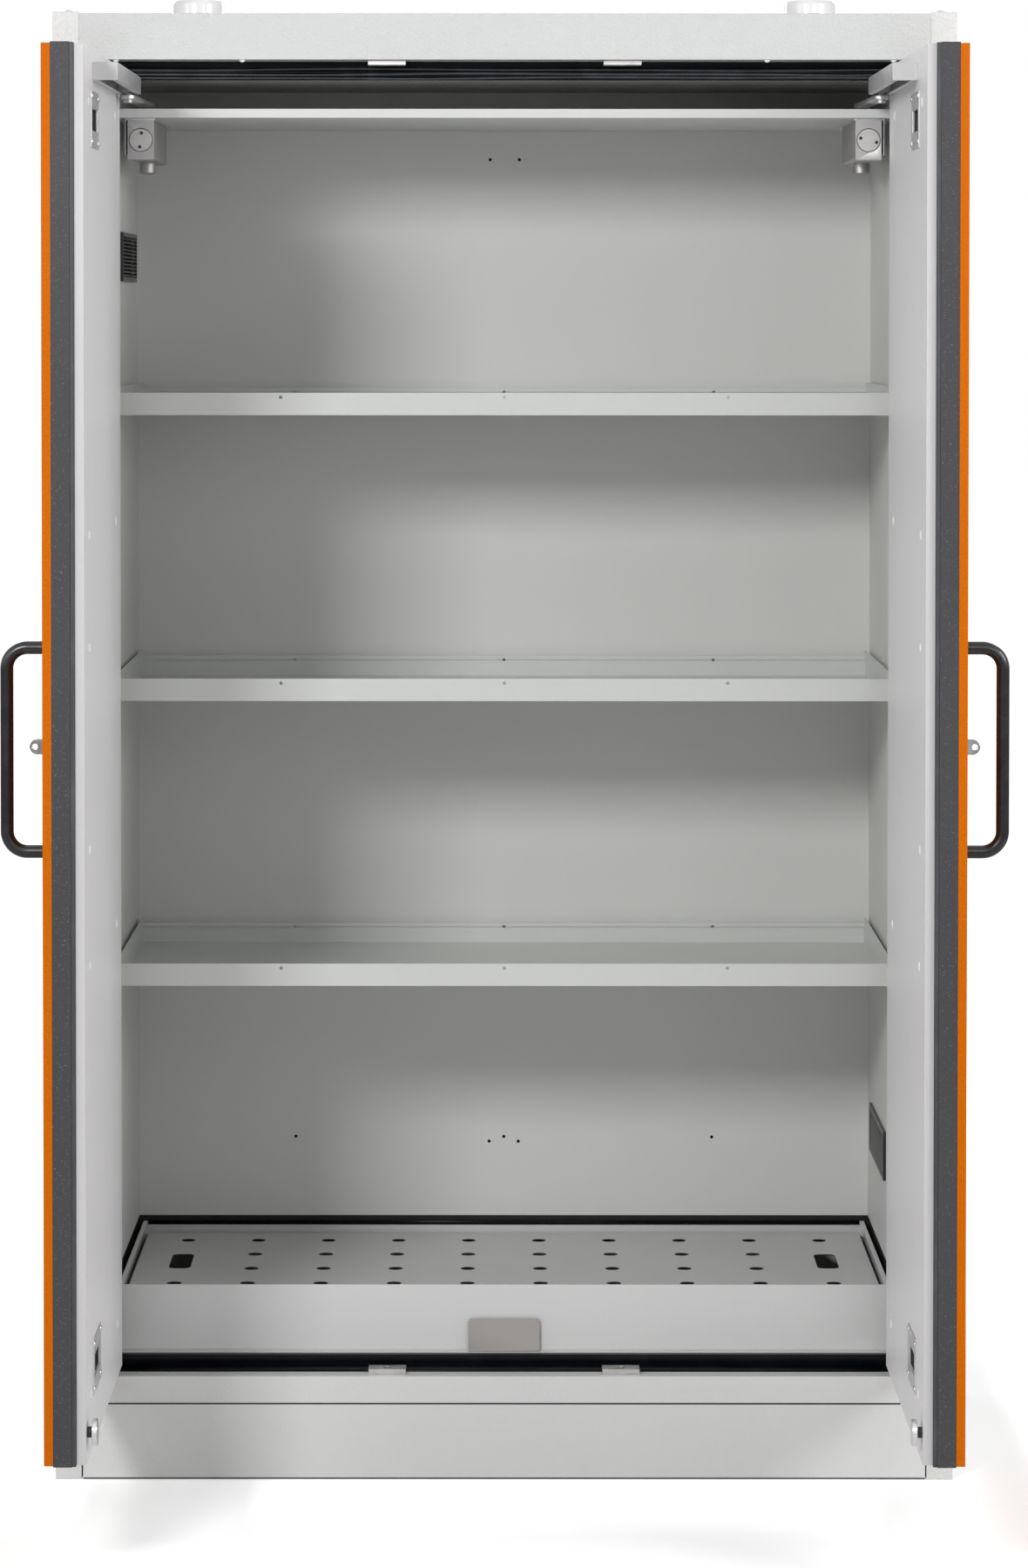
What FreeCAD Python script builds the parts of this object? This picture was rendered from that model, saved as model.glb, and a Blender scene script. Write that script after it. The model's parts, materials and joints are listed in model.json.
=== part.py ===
import FreeCAD, Part
import math
import os
import sys
from types import SimpleNamespace

import Sketcher

# Safety storage cabinet with two hinged doors, standing with both doors open
# X runs to the right, Y to the back and Z up, in mm
# The origin is on the floor, in the middle of the cabinet's front face

SIZES = {
    # outer case
    "cabinet_width": 1195.0,
    "cabinet_depth": 600.0,
    "top_height": 1949.0,
    "post_rise": 2.0,
    "sheet": 1.5,
    "post_width": 34.5,
    "post_return": 52.0,
    "rear_return": 20.0,
    "apron_height": 61.0,
    "sill_height": 138.0,
    "sill_face": 36.0,
    "sill_lip": 20.0,
    "frame_depth": 62.0,
    "plinth_height": 100.0,
    "plinth_clear": 2.0,
    "plinth_fold": 14.0,
    "base_flange": 40.0,
    # inside
    "inner_width": 1050.0,
    "back_wall": 530.0,
    "liner": 3.0,
    "liner_bottom": 253.0,
    "floor_height": 157.0,
    "ceiling_drop": 80.5,
    "seal_face": 52.5,
    "seal_width": 23.0,
    "seal_top_overlap": 5.0,
    "seal_rib": 2.0,
    # doors, closed from the post to the middle line
    "door_thickness": 51.0,
    "door_gap": 3.0,
    "door_flush": 0.1,
    "meeting_gap": 3.0,
    "door_top_gap": 8.0,
    "door_bottom_gap": 14.0,
    "skin_fold": 11.0,
    "skin_wall": 1.0,
    "skin_step": 1.5,
    "core_band": 23.0,
    "core_step": 0.5,
    "strip_band": 5.0,
    "pan_step": 2.0,
    "pan_free_step": 5.0,
    # hinges
    "hinge_inset": 1.7,
    "hinge_front": 2.0,
    "hinge_tall": 100.0,
    "hinge_end": 148.0,
    "knuckle_radius": 6.0,
    "hinge_pin_radius": 2.5,
    "pin_fit": 0.05,
    "leaf": 1.4,
    "leaf_width": 38.0,
    "knuckle_share": 30.0,
    "knuckle_clear": 0.3,
    "notch_clear": 0.5,
    # handles and padlock lugs
    "handle_centres": 250.0,
    "handle_height": 1019.0,
    "handle_edge": 73.0,
    "handle_reach": 50.0,
    "handle_bend": 25.0,
    "handle_radius": 8.0,
    "lug_height": 1029.0,
    "lug_tall": 19.0,
    "lug_reach": 15.5,
    "lug_plate": 3.0,
    "lug_edge": 3.0,
    "lug_hole_radius": 3.5,
    "lug_hole_out": 9.0,
    # latches
    "latch_edge": 154.5,
    "latch_low_end": 99.5,
    "latch_high_end": 89.0,
    "latch_wide": 104.0,
    "latch_tall": 70.0,
    "latch_plate": 1.5,
    "window_wide": 76.0,
    "window_tall": 27.0,
    "latch_pocket": 34.0,
    "bolt_depth": 25.0,
    "bolt_radius": 4.0,
    "bolt_clear": 0.3,
    "bolt_tail": 20.0,
    "bolt_flush": 0.5,
    "bolt_collar_radius": 7.0,
    "bolt_collar_tall": 12.0,
    "strike_wide": 50.0,
    "strike_deep": 30.0,
    "strike_thick": 6.5,
    "strike_hole_clear": 1.5,
    # magnets
    "magnet_radius": 16.5,
    "magnet_thick": 6.5,
    "magnet_stem": 4.5,
    "magnet_stand": 13.0,
    "magnet_edge": 20.0,
    "magnet_height": 191.0,
    "keeper_half": 48.0,
    "keeper_top": 201.0,
    "keeper_gap": 1.0,
    "keeper_plate": 2.0,
    "keeper_round": 4.0,
    # closers
    "rail_wide": 31.0,
    "rail_tall": 22.0,
    "rail_drop": 40.0,
    "rail_wall": 2.0,
    "rail_lip": 5.0,
    "rail_start": 42.0,
    "rail_length": 383.0,
    "slider_start": 58.0,
    "slider_long": 28.0,
    "slider_clear": 0.4,
    "slider_pin": 5.0,
    "pin_head_radius": 6.5,
    "pin_head_tall": 4.5,
    "arm_wide": 20.0,
    "arm_thick": 5.0,
    "arm_below_rail": 2.0,
    "spindle_x": 486.5,
    "spindle_y": 200.0,
    "spindle_radius": 8.0,
    "spindle_cap_radius": 11.0,
    "spindle_cap_tall": 15.0,
    "spindle_clear": 0.7,
    "closer_wide": 35.0,
    "closer_tall": 53.0,
    "closer_front": 75.0,
    "closer_long": 243.0,
    "closer_round": 4.0,
    "closer_cap": 4.0,
    "closer_plug_radius": 16.0,
    "closer_plug_depth": 1.0,
    "spanner_hole_radius": 2.2,
    "spanner_hole_pitch": 22.0,
    "bracket_plate": 3.0,
    "bracket_long": 287.0,
    "bracket_side": 1.5,
    "bracket_gap": 2.5,
    "bracket_drop": 46.0,
    "cover_drop": 26.0,
    "cover_flange": 12.0,
    "cover_front": 68.0,
    # air grilles
    "grille_front": 212.0,
    "grille_long": 248.0,
    "grille_tall": 67.0,
    "grille_drop": 217.0,
    "grille_low": 361.0,
    "grille_thick": 4.0,
    "grille_band": 6.0,
    "slat_pitch": 5.0,
    "slat_thick": 1.2,
    "slat_drop": 2.4,
    # shelves
    "shelf_half": 519.0,
    "shelf_front": 79.5,
    "shelf_back": 518.0,
    "shelf_lip": 30.0,
    "shelf_side_lip": 38.0,
    "shelf_sheet": 1.25,
    "shelf_hem": 3.5,
    "shelf_hem_tall": 6.0,
    "shelf_low": 648.5,
    "lip_hole_radius": 2.3,
    "lip_hole_drop": 6.0,
    "lip_hole_pitch": 300.0,
    "support_long": 25.0,
    "support_reach": 20.0,
    "support_thick": 2.0,
    "support_tall": 18.0,
    "support_inset": 60.0,
    # sump tray and its perforated insert
    "sump_half": 519.0,
    "sump_front": 72.0,
    "sump_back": 524.0,
    "sump_top": 246.0,
    "sump_sheet": 1.5,
    "sump_rim": 6.0,
    "insert_half": 511.0,
    "insert_side_gap": 3.0,
    "insert_top": 230.0,
    "insert_sheet": 1.5,
    "insert_fold": 20.0,
    "drain_radius": 10.0,
    "drain_pitch": 100.0,
    "drain_first_row": 160.0,
    "grip_wide": 30.0,
    "grip_long": 100.0,
    "grip_round": 10.0,
    # exhaust spigots
    "spigot_x": 434.0,
    "spigot_back": 135.0,
    "spigot_radius": 36.75,
    "spigot_wall": 2.5,
    "spigot_tall": 27.0,
    "spigot_flange": 50.0,
    "spigot_flange_thick": 3.0,
    "plug_head": 19.0,
    "plug_depth": 14.0,
    "plug_round": 6.0,
    "plug_clear": 0.3,
}

COLUMNS = 8
ROWS = 4
SHELVES = ("bottom", "middle", "top")

doc = FreeCAD.newDocument("safety_storage_cabinet")
sheet = doc.addObject("Spreadsheet::Sheet", "dims")


class Size:
    """A length in mm together with the expression that works it out from the spreadsheet."""

    def __init__(self, number, text):
        self.number = float(number)
        self.text = text

    def __add__(self, other):
        other = as_size(other)
        return Size(self.number + other.number, f"({self.text} + {other.text})")

    def __sub__(self, other):
        other = as_size(other)
        return Size(self.number - other.number, f"({self.text} - {other.text})")

    def __mul__(self, factor):
        factor = as_size(factor)
        return Size(self.number * factor.number, f"({self.text} * {factor.text})")

    def __truediv__(self, factor):
        factor = as_size(factor)
        return Size(self.number / factor.number, f"({self.text} / {factor.text})")

    def __radd__(self, other):
        return as_size(other) + self

    def __rsub__(self, other):
        return as_size(other) - self

    def __rmul__(self, other):
        return as_size(other) * self

    def __neg__(self):
        return Size(-self.number, f"(0 - {self.text})")


def as_size(value):
    """A Size from a Size or from a plain number."""
    if isinstance(value, Size):
        return value
    return Size(value, f"({value:.9g})")


def root(value):
    """The square root of a Size."""
    return Size(math.sqrt(value.number), f"sqrt({value.text})")


def bearing(across, along):
    """The angle in degrees whose tangent is across over along."""
    angle = math.degrees(math.atan2(across.number, along.number))
    return Size(angle, f"(atan2({across.text}; {along.text}) / 1 deg)")


def fill_sheet():
    """Write every driving dimension into the spreadsheet and return them as Sizes."""
    sizes = {}
    for row, (name, number) in enumerate(SIZES.items(), start=1):
        sheet.set(f"A{row}", name)
        sheet.set(f"B{row}", f"{number:g}")
        sheet.setAlias(f"B{row}", name)
        sizes[name] = Size(number, f"dims.{name}")
    doc.recompute()
    return SimpleNamespace(**sizes)


d = fill_sheet()


def bind(item, prop, value):
    """Tie one property of a document object to the sheet."""
    item.setExpression(prop, as_size(value).text)


def block(name, x, y, z):
    """A rectangular block between two limits along each axis."""
    solid = doc.addObject("Part::Box", name)
    for side, axis, (low, high) in zip(("Length", "Width", "Height"), "xyz", (x, y, z)):
        bind(solid, side, as_size(high) - low)
        bind(solid, f"Placement.Base.{axis}", low)
    return solid


TURNS = {
    "x": FreeCAD.Rotation(FreeCAD.Vector(0, 1, 0), 90),
    "y": FreeCAD.Rotation(FreeCAD.Vector(1, 0, 0), -90),
    "z": FreeCAD.Rotation(),
}


def rod(name, along, at, span, radius):
    """A round bar along one axis; at holds its two other coordinates, in X, Y, Z order."""
    solid = doc.addObject("Part::Cylinder", name)
    solid.Placement = FreeCAD.Placement(FreeCAD.Vector(), TURNS[along])
    bind(solid, "Radius", radius)
    bind(solid, "Height", as_size(span[1]) - span[0])
    others = [axis for axis in "xyz" if axis != along]
    for axis, value in zip(others, at):
        bind(solid, f"Placement.Base.{axis}", value)
    bind(solid, f"Placement.Base.{along}", span[0])
    return solid


def group(name, pieces):
    """Separate pieces kept side by side in one object."""
    item = doc.addObject("Part::Compound", name)
    item.Links = pieces
    return item


def join(name, pieces):
    """Pieces welded into one solid."""
    item = doc.addObject("Part::MultiFuse", name)
    item.Shapes = pieces
    item.Refine = True
    return item


def cut(name, base, tools):
    """A solid with one or more tools taken out of it."""
    item = doc.addObject("Part::Cut", name)
    item.Base = base
    item.Tool = tools[0] if len(tools) == 1 else join(f"{name}_tools", tools)
    return item


def mirrored(name, source):
    """The right-hand twin of a left-hand piece."""
    item = doc.addObject("Part::Mirroring", name)
    item.Source = source
    item.Normal = FreeCAD.Vector(1, 0, 0)
    return item


def body_named(name):
    return doc.addObject("PartDesign::Body", name)


def origin_plane(body, role):
    """One of a body's own three origin planes."""
    for feature in body.Origin.OriginFeatures:
        if feature.Role == role:
            return feature
    raise ValueError(role)


def new_sketch(body, name, plane, offset=0.0):
    """An empty sketch on a body's origin plane, moved along the plane's normal."""
    sketch = body.newObject("Sketcher::SketchObject", name)
    sketch.AttachmentSupport = [(origin_plane(body, plane), "")]
    sketch.MapMode = "FlatFace"
    bind(sketch, "AttachmentOffset.Base.z", offset)
    return sketch


def hold_point(sketch, edge, end, x, y):
    """Fix one end of an edge by its two distances from the sketch's origin."""
    for kind, value in (("DistanceX", as_size(x)), ("DistanceY", as_size(y))):
        rule = Sketcher.Constraint(kind, -1, 1, edge, end, value.number)
        index = sketch.addConstraint(rule)
        bind(sketch, f"Constraints[{index}]", value)


def draw_outline(sketch, corners):
    """A closed outline of straight edges through corners."""
    points = [FreeCAD.Vector(as_size(x).number, as_size(y).number, 0) for x, y in corners]
    first = sketch.GeometryCount
    for start, end in zip(points, points[1:] + points[:1]):
        sketch.addGeometry(Part.LineSegment(start, end), False)
    for index, (x, y) in enumerate(corners):
        after = (index + 1) % len(corners)
        sketch.addConstraint(Sketcher.Constraint("Coincident", first + index, 2, first + after, 1))
        hold_point(sketch, first + index, 1, x, y)


def draw_circle(sketch, x, y, radius):
    """A circle held by its centre and its radius."""
    centre = FreeCAD.Vector(as_size(x).number, as_size(y).number, 0)
    edge = sketch.addGeometry(Part.Circle(centre, FreeCAD.Vector(0, 0, 1), as_size(radius).number))
    hold_point(sketch, edge, 3, x, y)
    index = sketch.addConstraint(Sketcher.Constraint("Radius", edge, as_size(radius).number))
    bind(sketch, f"Constraints[{index}]", radius)


def add_pad(body, name, sketch, length):
    """Material added along a sketch's normal."""
    feature = body.newObject("PartDesign::Pad", name)
    feature.Profile = sketch
    bind(feature, "Length", length)
    sketch.Visibility = False
    return feature


def add_pocket(body, name, sketch, length):
    """Material taken away on both sides of a sketch."""
    feature = body.newObject("PartDesign::Pocket", name)
    feature.Profile = sketch
    feature.Midplane = True
    bind(feature, "Length", length)
    return feature


def folded_outline(path, thickness, hand):
    """The outline of a folded sheet: a square-cornered path, thickened to its left (1) or right (-1)."""
    normals = []
    for (x0, y0), (x1, y1) in zip(path, path[1:]):
        run = (as_size(x1).number - as_size(x0).number, as_size(y1).number - as_size(y0).number)
        along = 0 if abs(run[0]) > abs(run[1]) else 1
        sign = hand * math.copysign(1, run[along])
        normals.append((0.0, sign) if along == 0 else (-sign, 0.0))
    inner = []
    for index, (x, y) in enumerate(path):
        beside = normals[max(index - 1, 0): index + 1]
        push = (sum(normal[0] for normal in beside), sum(normal[1] for normal in beside))
        inner.append((as_size(x) + thickness * push[0], as_size(y) + thickness * push[1]))
    return list(path) + inner[::-1]


PLANES = {"x": "YZ_Plane", "y": "XZ_Plane", "z": "XY_Plane"}


def extrude(name, along, corners, span):
    """A body with one straight outline carried along an axis between two limits."""
    body = body_named(name)
    low, high = as_size(span[0]), as_size(span[1])
    offset = -high if along == "y" else low
    sketch = new_sketch(body, f"{name}_outline", PLANES[along], offset)
    draw_outline(sketch, corners)
    add_pad(body, f"{name}_pad", sketch, high - low)
    return body


def pan(name, x, y, z, wall, open_face):
    """A tray with one open face, such as +z, and walls of one thickness."""
    shell = block(f"{name}_shell", x, y, z)
    limits = {"x": [x[0], x[1]], "y": [y[0], y[1]], "z": [z[0], z[1]]}
    inside = {axis: [as_size(low) + wall, as_size(high) - wall] for axis, (low, high) in limits.items()}
    sign, axis = open_face
    end = 1 if sign == "+" else 0
    inside[axis][end] = as_size(limits[axis][end]) + wall * (1 if end else -1)
    return cut(name, shell, [block(f"{name}_inside", inside["x"], inside["y"], inside["z"])])


# Places worked out from the sizes
half_width = d.cabinet_width / 2
opening_half = half_width - d.post_width
inner_half = d.inner_width / 2
wall_inside = half_width - d.sheet
liner_outside = inner_half + d.liner
apron_bottom = d.top_height - d.apron_height
under_top = d.top_height - d.sheet
rear_face = d.cabinet_depth - d.sheet
door_low = d.sill_height + d.door_bottom_gap
door_high = apron_bottom - d.door_top_gap
ceiling_height = d.top_height - d.ceiling_drop
latch_low = door_low + d.latch_low_end
latch_high = door_high - d.latch_high_end
rail_low = door_high - d.rail_drop
cover_low = rail_low - d.cover_drop
grille_high = cover_low - d.grille_drop
shelf_pitch = (cover_low - d.cover_flange - d.sheet - d.shelf_low) / len(SHELVES)
spigot_y = d.cabinet_depth - d.spigot_back
hinge_x = -(opening_half - d.hinge_inset)
hinge_y = -d.hinge_front
door_outer = hinge_x + d.door_flush + d.hinge_front
door_inner = door_outer + d.door_thickness
door_root = hinge_y - (d.door_gap - d.hinge_inset)
door_free = hinge_y + hinge_x + d.meeting_gap / 2
skin_edge = door_outer + d.skin_fold
core_edge = skin_edge + d.core_band
strip_edge = core_edge + d.strip_band
hinge_low = door_low + d.hinge_end
hinge_high = door_high - d.hinge_end
hinge_middle = (hinge_low + hinge_high) / 2
hinge_heights = (hinge_low, hinge_middle, hinge_high)
latch_y = door_free + d.latch_edge
bolt_x = door_outer + d.bolt_depth
strike_x = hinge_x - (latch_y - hinge_y)
strike_y = hinge_y + (bolt_x - hinge_x)
rail_x = door_inner + d.rail_wide / 2
slider_y = hinge_y - d.slider_start
arm_top = rail_low - d.arm_below_rail
arm_low = arm_top - d.arm_thick
closer_high = cover_low - d.bracket_plate
closer_low = closer_high - d.closer_tall
closer_left = -(d.spindle_x + d.closer_wide / 2)
closer_right = closer_left + d.closer_wide
keeper_front = hinge_y + (door_inner - hinge_x) + d.magnet_stand + d.keeper_gap
keeper_back = keeper_front + d.keeper_plate


def make_case():
    """Outer steel panels of the cabinet and the frame it stands on."""
    left_path = (
        (-opening_half, d.post_return),
        (-opening_half, 0),
        (-half_width, 0),
        (-half_width, d.cabinet_depth),
        (-half_width + d.rear_return, d.cabinet_depth),
    )
    side_outline = folded_outline(left_path, d.sheet, -1)
    side_blank = extrude("side_panel_blank", "z", side_outline, (0, d.top_height + d.post_rise))
    notches = []
    for index, height in enumerate(hinge_heights):
        reach = d.knuckle_radius + d.notch_clear
        notch_x = (hinge_x - reach, -opening_half + d.sheet)
        notch_z = (height - d.hinge_tall / 2 - 1, height + d.hinge_tall / 2 + 1)
        notches.append(block(f"post_notch_{index}", notch_x, (-d.sheet, hinge_y + reach), notch_z))
    notches.append(
        block(
            "post_top_notch",
            (-opening_half - 2 * d.sheet, -opening_half + d.sheet),
            (d.sheet, d.post_return + d.sheet),
            (under_top, d.top_height + d.post_rise + 1),
        )
    )
    left = cut("side_panel_left", side_blank, notches)
    right = mirrored("side_panel_right", left)

    top_path = (
        (d.frame_depth, apron_bottom),
        (0, apron_bottom),
        (0, d.top_height),
        (rear_face - d.sheet, d.top_height),
        (rear_face - d.sheet, d.top_height - d.rear_return),
    )
    top_outline = folded_outline(top_path, d.sheet, -1)
    apron = extrude("top_apron", "x", top_outline, (-opening_half, opening_half))
    lid = block(
        "top_lid", (-wall_inside, wall_inside), (d.sheet, rear_face - d.sheet), (under_top, d.top_height)
    )
    outlets = [spigot_hole(side, name) for side, name in ((-1, "left"), (1, "right"))]
    top = cut("top_panel", join("top_blank", [apron, lid]), outlets)

    rear = block(
        "rear_panel",
        (-wall_inside, wall_inside),
        (rear_face - d.sheet, rear_face),
        (d.plinth_clear, d.top_height),
    )

    sill_bottom = d.sill_height - d.sill_face
    sill_path = (
        (d.sill_lip, sill_bottom),
        (0, sill_bottom),
        (0, d.sill_height),
        (d.frame_depth, d.sill_height),
    )
    sill_outline = folded_outline(sill_path, d.sheet, -1)
    sill = extrude("sill_rail", "x", sill_outline, (-opening_half, opening_half))

    cover_half = opening_half - d.plinth_clear
    plinth_path = (
        (-cover_half, d.plinth_fold),
        (-cover_half, 0),
        (cover_half, 0),
        (cover_half, d.plinth_fold),
    )
    plinth_outline = folded_outline(plinth_path, d.sheet, 1)
    plinth = extrude("plinth_cover", "z", plinth_outline, (d.plinth_clear, d.plinth_height))
    return {
        "side_panel_left": left,
        "side_panel_right": right,
        "top_panel": top,
        "rear_panel": rear,
        "sill_rail": sill,
        "plinth_cover": plinth,
        "base_frame": make_base(),
    }


def spigot_hole(side, name):
    """The round outlet in the top sheet under one spigot."""
    span = (under_top - d.sheet, d.top_height + d.sheet)
    inside = d.spigot_radius - d.spigot_wall
    return rod(f"outlet_{name}", "z", (side * d.spigot_x, spigot_y), span, inside)


def make_base():
    """Four channels of the base, their webs outside, and the front foot strip."""
    low_front, low_back = d.plinth_fold, rear_face - d.sheet
    flange = d.base_flange
    tall = d.plinth_height
    rails = []
    for name, front, back, hand in (
        ("front", low_front, low_front + flange, -1),
        ("rear", low_back, low_back - flange, 1),
    ):
        path = ((back, 0), (front, 0), (front, tall), (back, tall))
        rails.append(
            extrude(
                f"base_rail_{name}",
                "x",
                folded_outline(path, d.sheet, hand),
                (-opening_half, opening_half),
            )
        )
    side_span = (low_front + flange, low_back - flange)
    inside = -opening_half + flange
    path = ((inside, 0), (-opening_half, 0), (-opening_half, tall), (inside, tall))
    left = extrude("base_rail_left", "y", folded_outline(path, d.sheet, -1), side_span)
    right = mirrored("base_rail_right", left)
    foot = block(
        "base_foot",
        (-opening_half + d.plinth_clear, opening_half - d.plinth_clear),
        (0, low_front + d.sheet),
        (0, d.sheet),
    )
    front = join("base_front_rail", [rails[0], foot])
    return group("base_frame", [front, rails[1], left, right])


def make_insulation():
    """Insulation boards between the outer case and the lining."""
    tops = (d.plinth_height, under_top)
    left = block("board_left", (-wall_inside, -liner_outside), (d.frame_depth, rear_face - 2 * d.sheet), tops)
    right = mirrored("board_right", left)
    rear = block(
        "board_rear",
        (-liner_outside, liner_outside),
        (d.back_wall + d.liner, rear_face - 2 * d.sheet),
        (d.plinth_height, under_top),
    )
    over = block(
        "board_top",
        (-liner_outside, liner_outside),
        (d.frame_depth, d.back_wall + d.liner),
        (ceiling_height + d.liner, under_top),
    )
    over = cut("board_top_bored", over, [spigot_bore(-1, "left"), spigot_bore(1, "right")])
    under = block(
        "board_bottom",
        (-liner_outside, liner_outside),
        (d.frame_depth, d.back_wall + d.liner),
        (d.plinth_height, d.floor_height - d.liner),
    )
    return {"insulation_boards": group("insulation_boards", [left, right, rear, over, under])}


def spigot_bore(side, name):
    """The air way through the top board under one spigot."""
    span = (ceiling_height, under_top + d.sheet)
    inside = d.spigot_radius - d.spigot_wall
    return rod(f"air_way_{name}", "z", (side * d.spigot_x, spigot_y), span, inside)


def make_lining():
    """Coated lining boards of the storage space."""
    depth = (d.frame_depth, d.back_wall)
    height = (d.liner_bottom, ceiling_height)
    side_x = (-liner_outside, -inner_half)
    hole_y = (d.grille_front + d.grille_band, d.grille_front + d.grille_long - d.grille_band)
    hole_x = (-liner_outside - d.liner, -inner_half + d.liner)
    left_hole = (grille_high + d.grille_band, grille_high + d.grille_tall - d.grille_band)
    right_hole = (d.grille_low + d.grille_band, d.grille_low + d.grille_tall - d.grille_band)
    left = cut(
        "side_liner_left",
        block("side_liner_left_board", side_x, depth, height),
        [block("liner_hole_left", hole_x, hole_y, left_hole)],
    )
    right_blank = cut(
        "side_liner_right_blank",
        block("side_liner_right_board", side_x, depth, height),
        [block("liner_hole_right", hole_x, hole_y, right_hole)],
    )
    right = mirrored("side_liner_right", right_blank)
    rear = block(
        "rear_liner",
        (-liner_outside, liner_outside),
        (d.back_wall, d.back_wall + d.liner),
        (d.liner_bottom, ceiling_height),
    )
    ceiling = block(
        "ceiling_liner",
        (-liner_outside, liner_outside),
        (d.frame_depth, d.back_wall + d.liner),
        (ceiling_height, ceiling_height + d.liner),
    )
    floor = block(
        "floor_liner",
        (-liner_outside, liner_outside),
        (d.frame_depth, d.back_wall + d.liner),
        (d.floor_height - d.liner, d.floor_height),
    )
    return {
        "side_liners": group("side_liners", [left, right]),
        "rear_liner": rear,
        "ceiling_liner": ceiling,
        "floor_liner": floor,
    }


def make_frame_seals():
    """Black seals round the opening: a ribbed one above, plain ones beside and below."""
    face, back = d.seal_face, d.frame_depth
    seal_low = ceiling_height - d.seal_top_overlap
    rib = d.seal_rib
    corners = [(back, seal_low), (back, apron_bottom)]
    corners += [(face + 2 * rib, apron_bottom)]
    step = (apron_bottom - d.door_top_gap - seal_low) / 8
    height = apron_bottom - d.door_top_gap
    corners += [(face + 2 * rib, height)]
    for turn in range(4):
        corners += [(face, height - step * 0.5), (face, height - step * 1.5)]
        height = height - step * 2
        if turn < 3:
            corners += [(face + rib, height)]
    corners += [(face + rib, seal_low)]
    top = extrude("seal_top", "x", corners, (-opening_half, opening_half))
    bottom = block(
        "seal_bottom",
        (-opening_half, opening_half),
        (face, back),
        (d.sill_height, d.floor_height - 1),
    )
    side_z = (d.floor_height - 1, seal_low)
    left = block("seal_left", (-opening_half, -opening_half + d.seal_width), (face, back), side_z)
    right = mirrored("seal_right", left)
    return {"frame_seals": group("frame_seals", [top, bottom, left, right])}


def make_door():
    """The left door, standing open at a right angle to the front."""
    width = (door_free, door_root)
    notches = []
    for index, height in enumerate(hinge_heights):
        reach = d.knuckle_radius + d.notch_clear
        notch_z = (height - d.hinge_tall / 2 - 1, height + d.hinge_tall / 2 + 1)
        notches.append(
            block(
                f"door_notch_{index}",
                (door_outer - 1, hinge_x + reach),
                (hinge_y - reach, door_root + 1),
                notch_z,
            )
        )
    skin_z = (door_low + d.skin_step, door_high - d.skin_step)
    skin_pan = pan("door_skin_pan", (door_outer, skin_edge), width, skin_z, d.skin_wall, "+x")
    skin = cut("door_skin_left", skin_pan, notches)

    step = d.core_step
    core_parts = [
        block(
            "core_front",
            (door_outer + d.skin_wall, skin_edge),
            (door_free + d.skin_wall, door_root - d.skin_wall),
            (skin_z[0] + d.skin_wall, skin_z[1] - d.skin_wall),
        ),
        block(
            "core_middle",
            (skin_edge, core_edge),
            (door_free + step, door_root - step),
            (door_low, door_high),
        ),
        block(
            "core_back",
            (core_edge, door_inner - d.skin_wall),
            (door_free + d.pan_free_step + d.skin_wall, door_root - d.pan_step - d.skin_wall),
            (door_low + d.pan_step + d.skin_wall, door_high - d.pan_step - d.skin_wall),
        ),
    ]
    hollows = list(notches)
    for name, centre, guide_z in (
        ("low", latch_low, (door_low - 1, latch_low + d.bolt_tail)),
        ("high", latch_high, (latch_high - d.bolt_tail, door_high + 1)),
    ):
        pocket_z = (centre - d.window_tall / 2, centre + d.window_tall / 2)
        pocket_y = (latch_y - d.window_wide / 2, latch_y + d.window_wide / 2)
        pocket_x = (door_inner - d.latch_pocket, door_inner)
        hollows.append(block(f"latch_pocket_{name}", pocket_x, pocket_y, pocket_z))
        bore = d.bolt_radius + d.bolt_clear
        hollows.append(rod(f"bolt_guide_{name}", "z", (bolt_x, latch_y), guide_z, bore))
    core = cut("door_core_left", join("core_solid", core_parts), hollows)

    ring_y = (door_free + step, door_root - step)
    ring_z = (door_low + step, door_high - step)
    strip = cut(
        "door_seal_left",
        block("strip_blank", (core_edge, strip_edge), ring_y, ring_z),
        [
            block(
                "strip_inside",
                (core_edge - 1, strip_edge + 1),
                (door_free + d.pan_free_step + d.skin_wall, door_root - d.pan_step - d.skin_wall),
                (door_low + d.pan_step + d.skin_wall, door_high - d.pan_step - d.skin_wall),
            )
        ],
    )

    pan_y = (door_free + d.pan_free_step, door_root - d.pan_step)
    pan_z = (door_low + d.pan_step, door_high - d.pan_step)
    inner = pan("inner_pan_blank", (strip_edge, door_inner), pan_y, pan_z, d.skin_wall, "-x")
    windows = []
    for name, centre in (("low", latch_low), ("high", latch_high)):
        windows.append(
            block(
                f"pan_window_{name}",
                (door_inner - 2 * d.skin_wall, door_inner + d.skin_wall),
                (latch_y - d.window_wide / 2, latch_y + d.window_wide / 2),
                (centre - d.window_tall / 2, centre + d.window_tall / 2),
            )
        )
    inner = cut("door_inner_pan_left", inner, windows)

    pieces = {
        "door_skin": skin,
        "door_core": core,
        "door_seal": strip,
        "door_inner_pan": inner,
        "door_handle": make_handle(),
        "padlock_lug": make_lug(),
        "guide_rail": make_guide_rail(),
        "latch_plates": make_latch_plates(),
        "latch_bolt_top": make_bolt("top"),
        "latch_bolt_bottom": make_bolt("bottom"),
        "door_magnet": make_magnet(),
        "hinge_door_leaves": make_door_leaves(),
        "closer_slider": make_slider(),
        "closer_arm": make_arm(),
        "closer_spindle": make_spindle(),
    }
    made = {}
    for name, piece in pieces.items():
        made[f"{name}_left"] = piece
        made[f"{name}_right"] = mirrored(f"{name}_right", piece)
    return made


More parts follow.
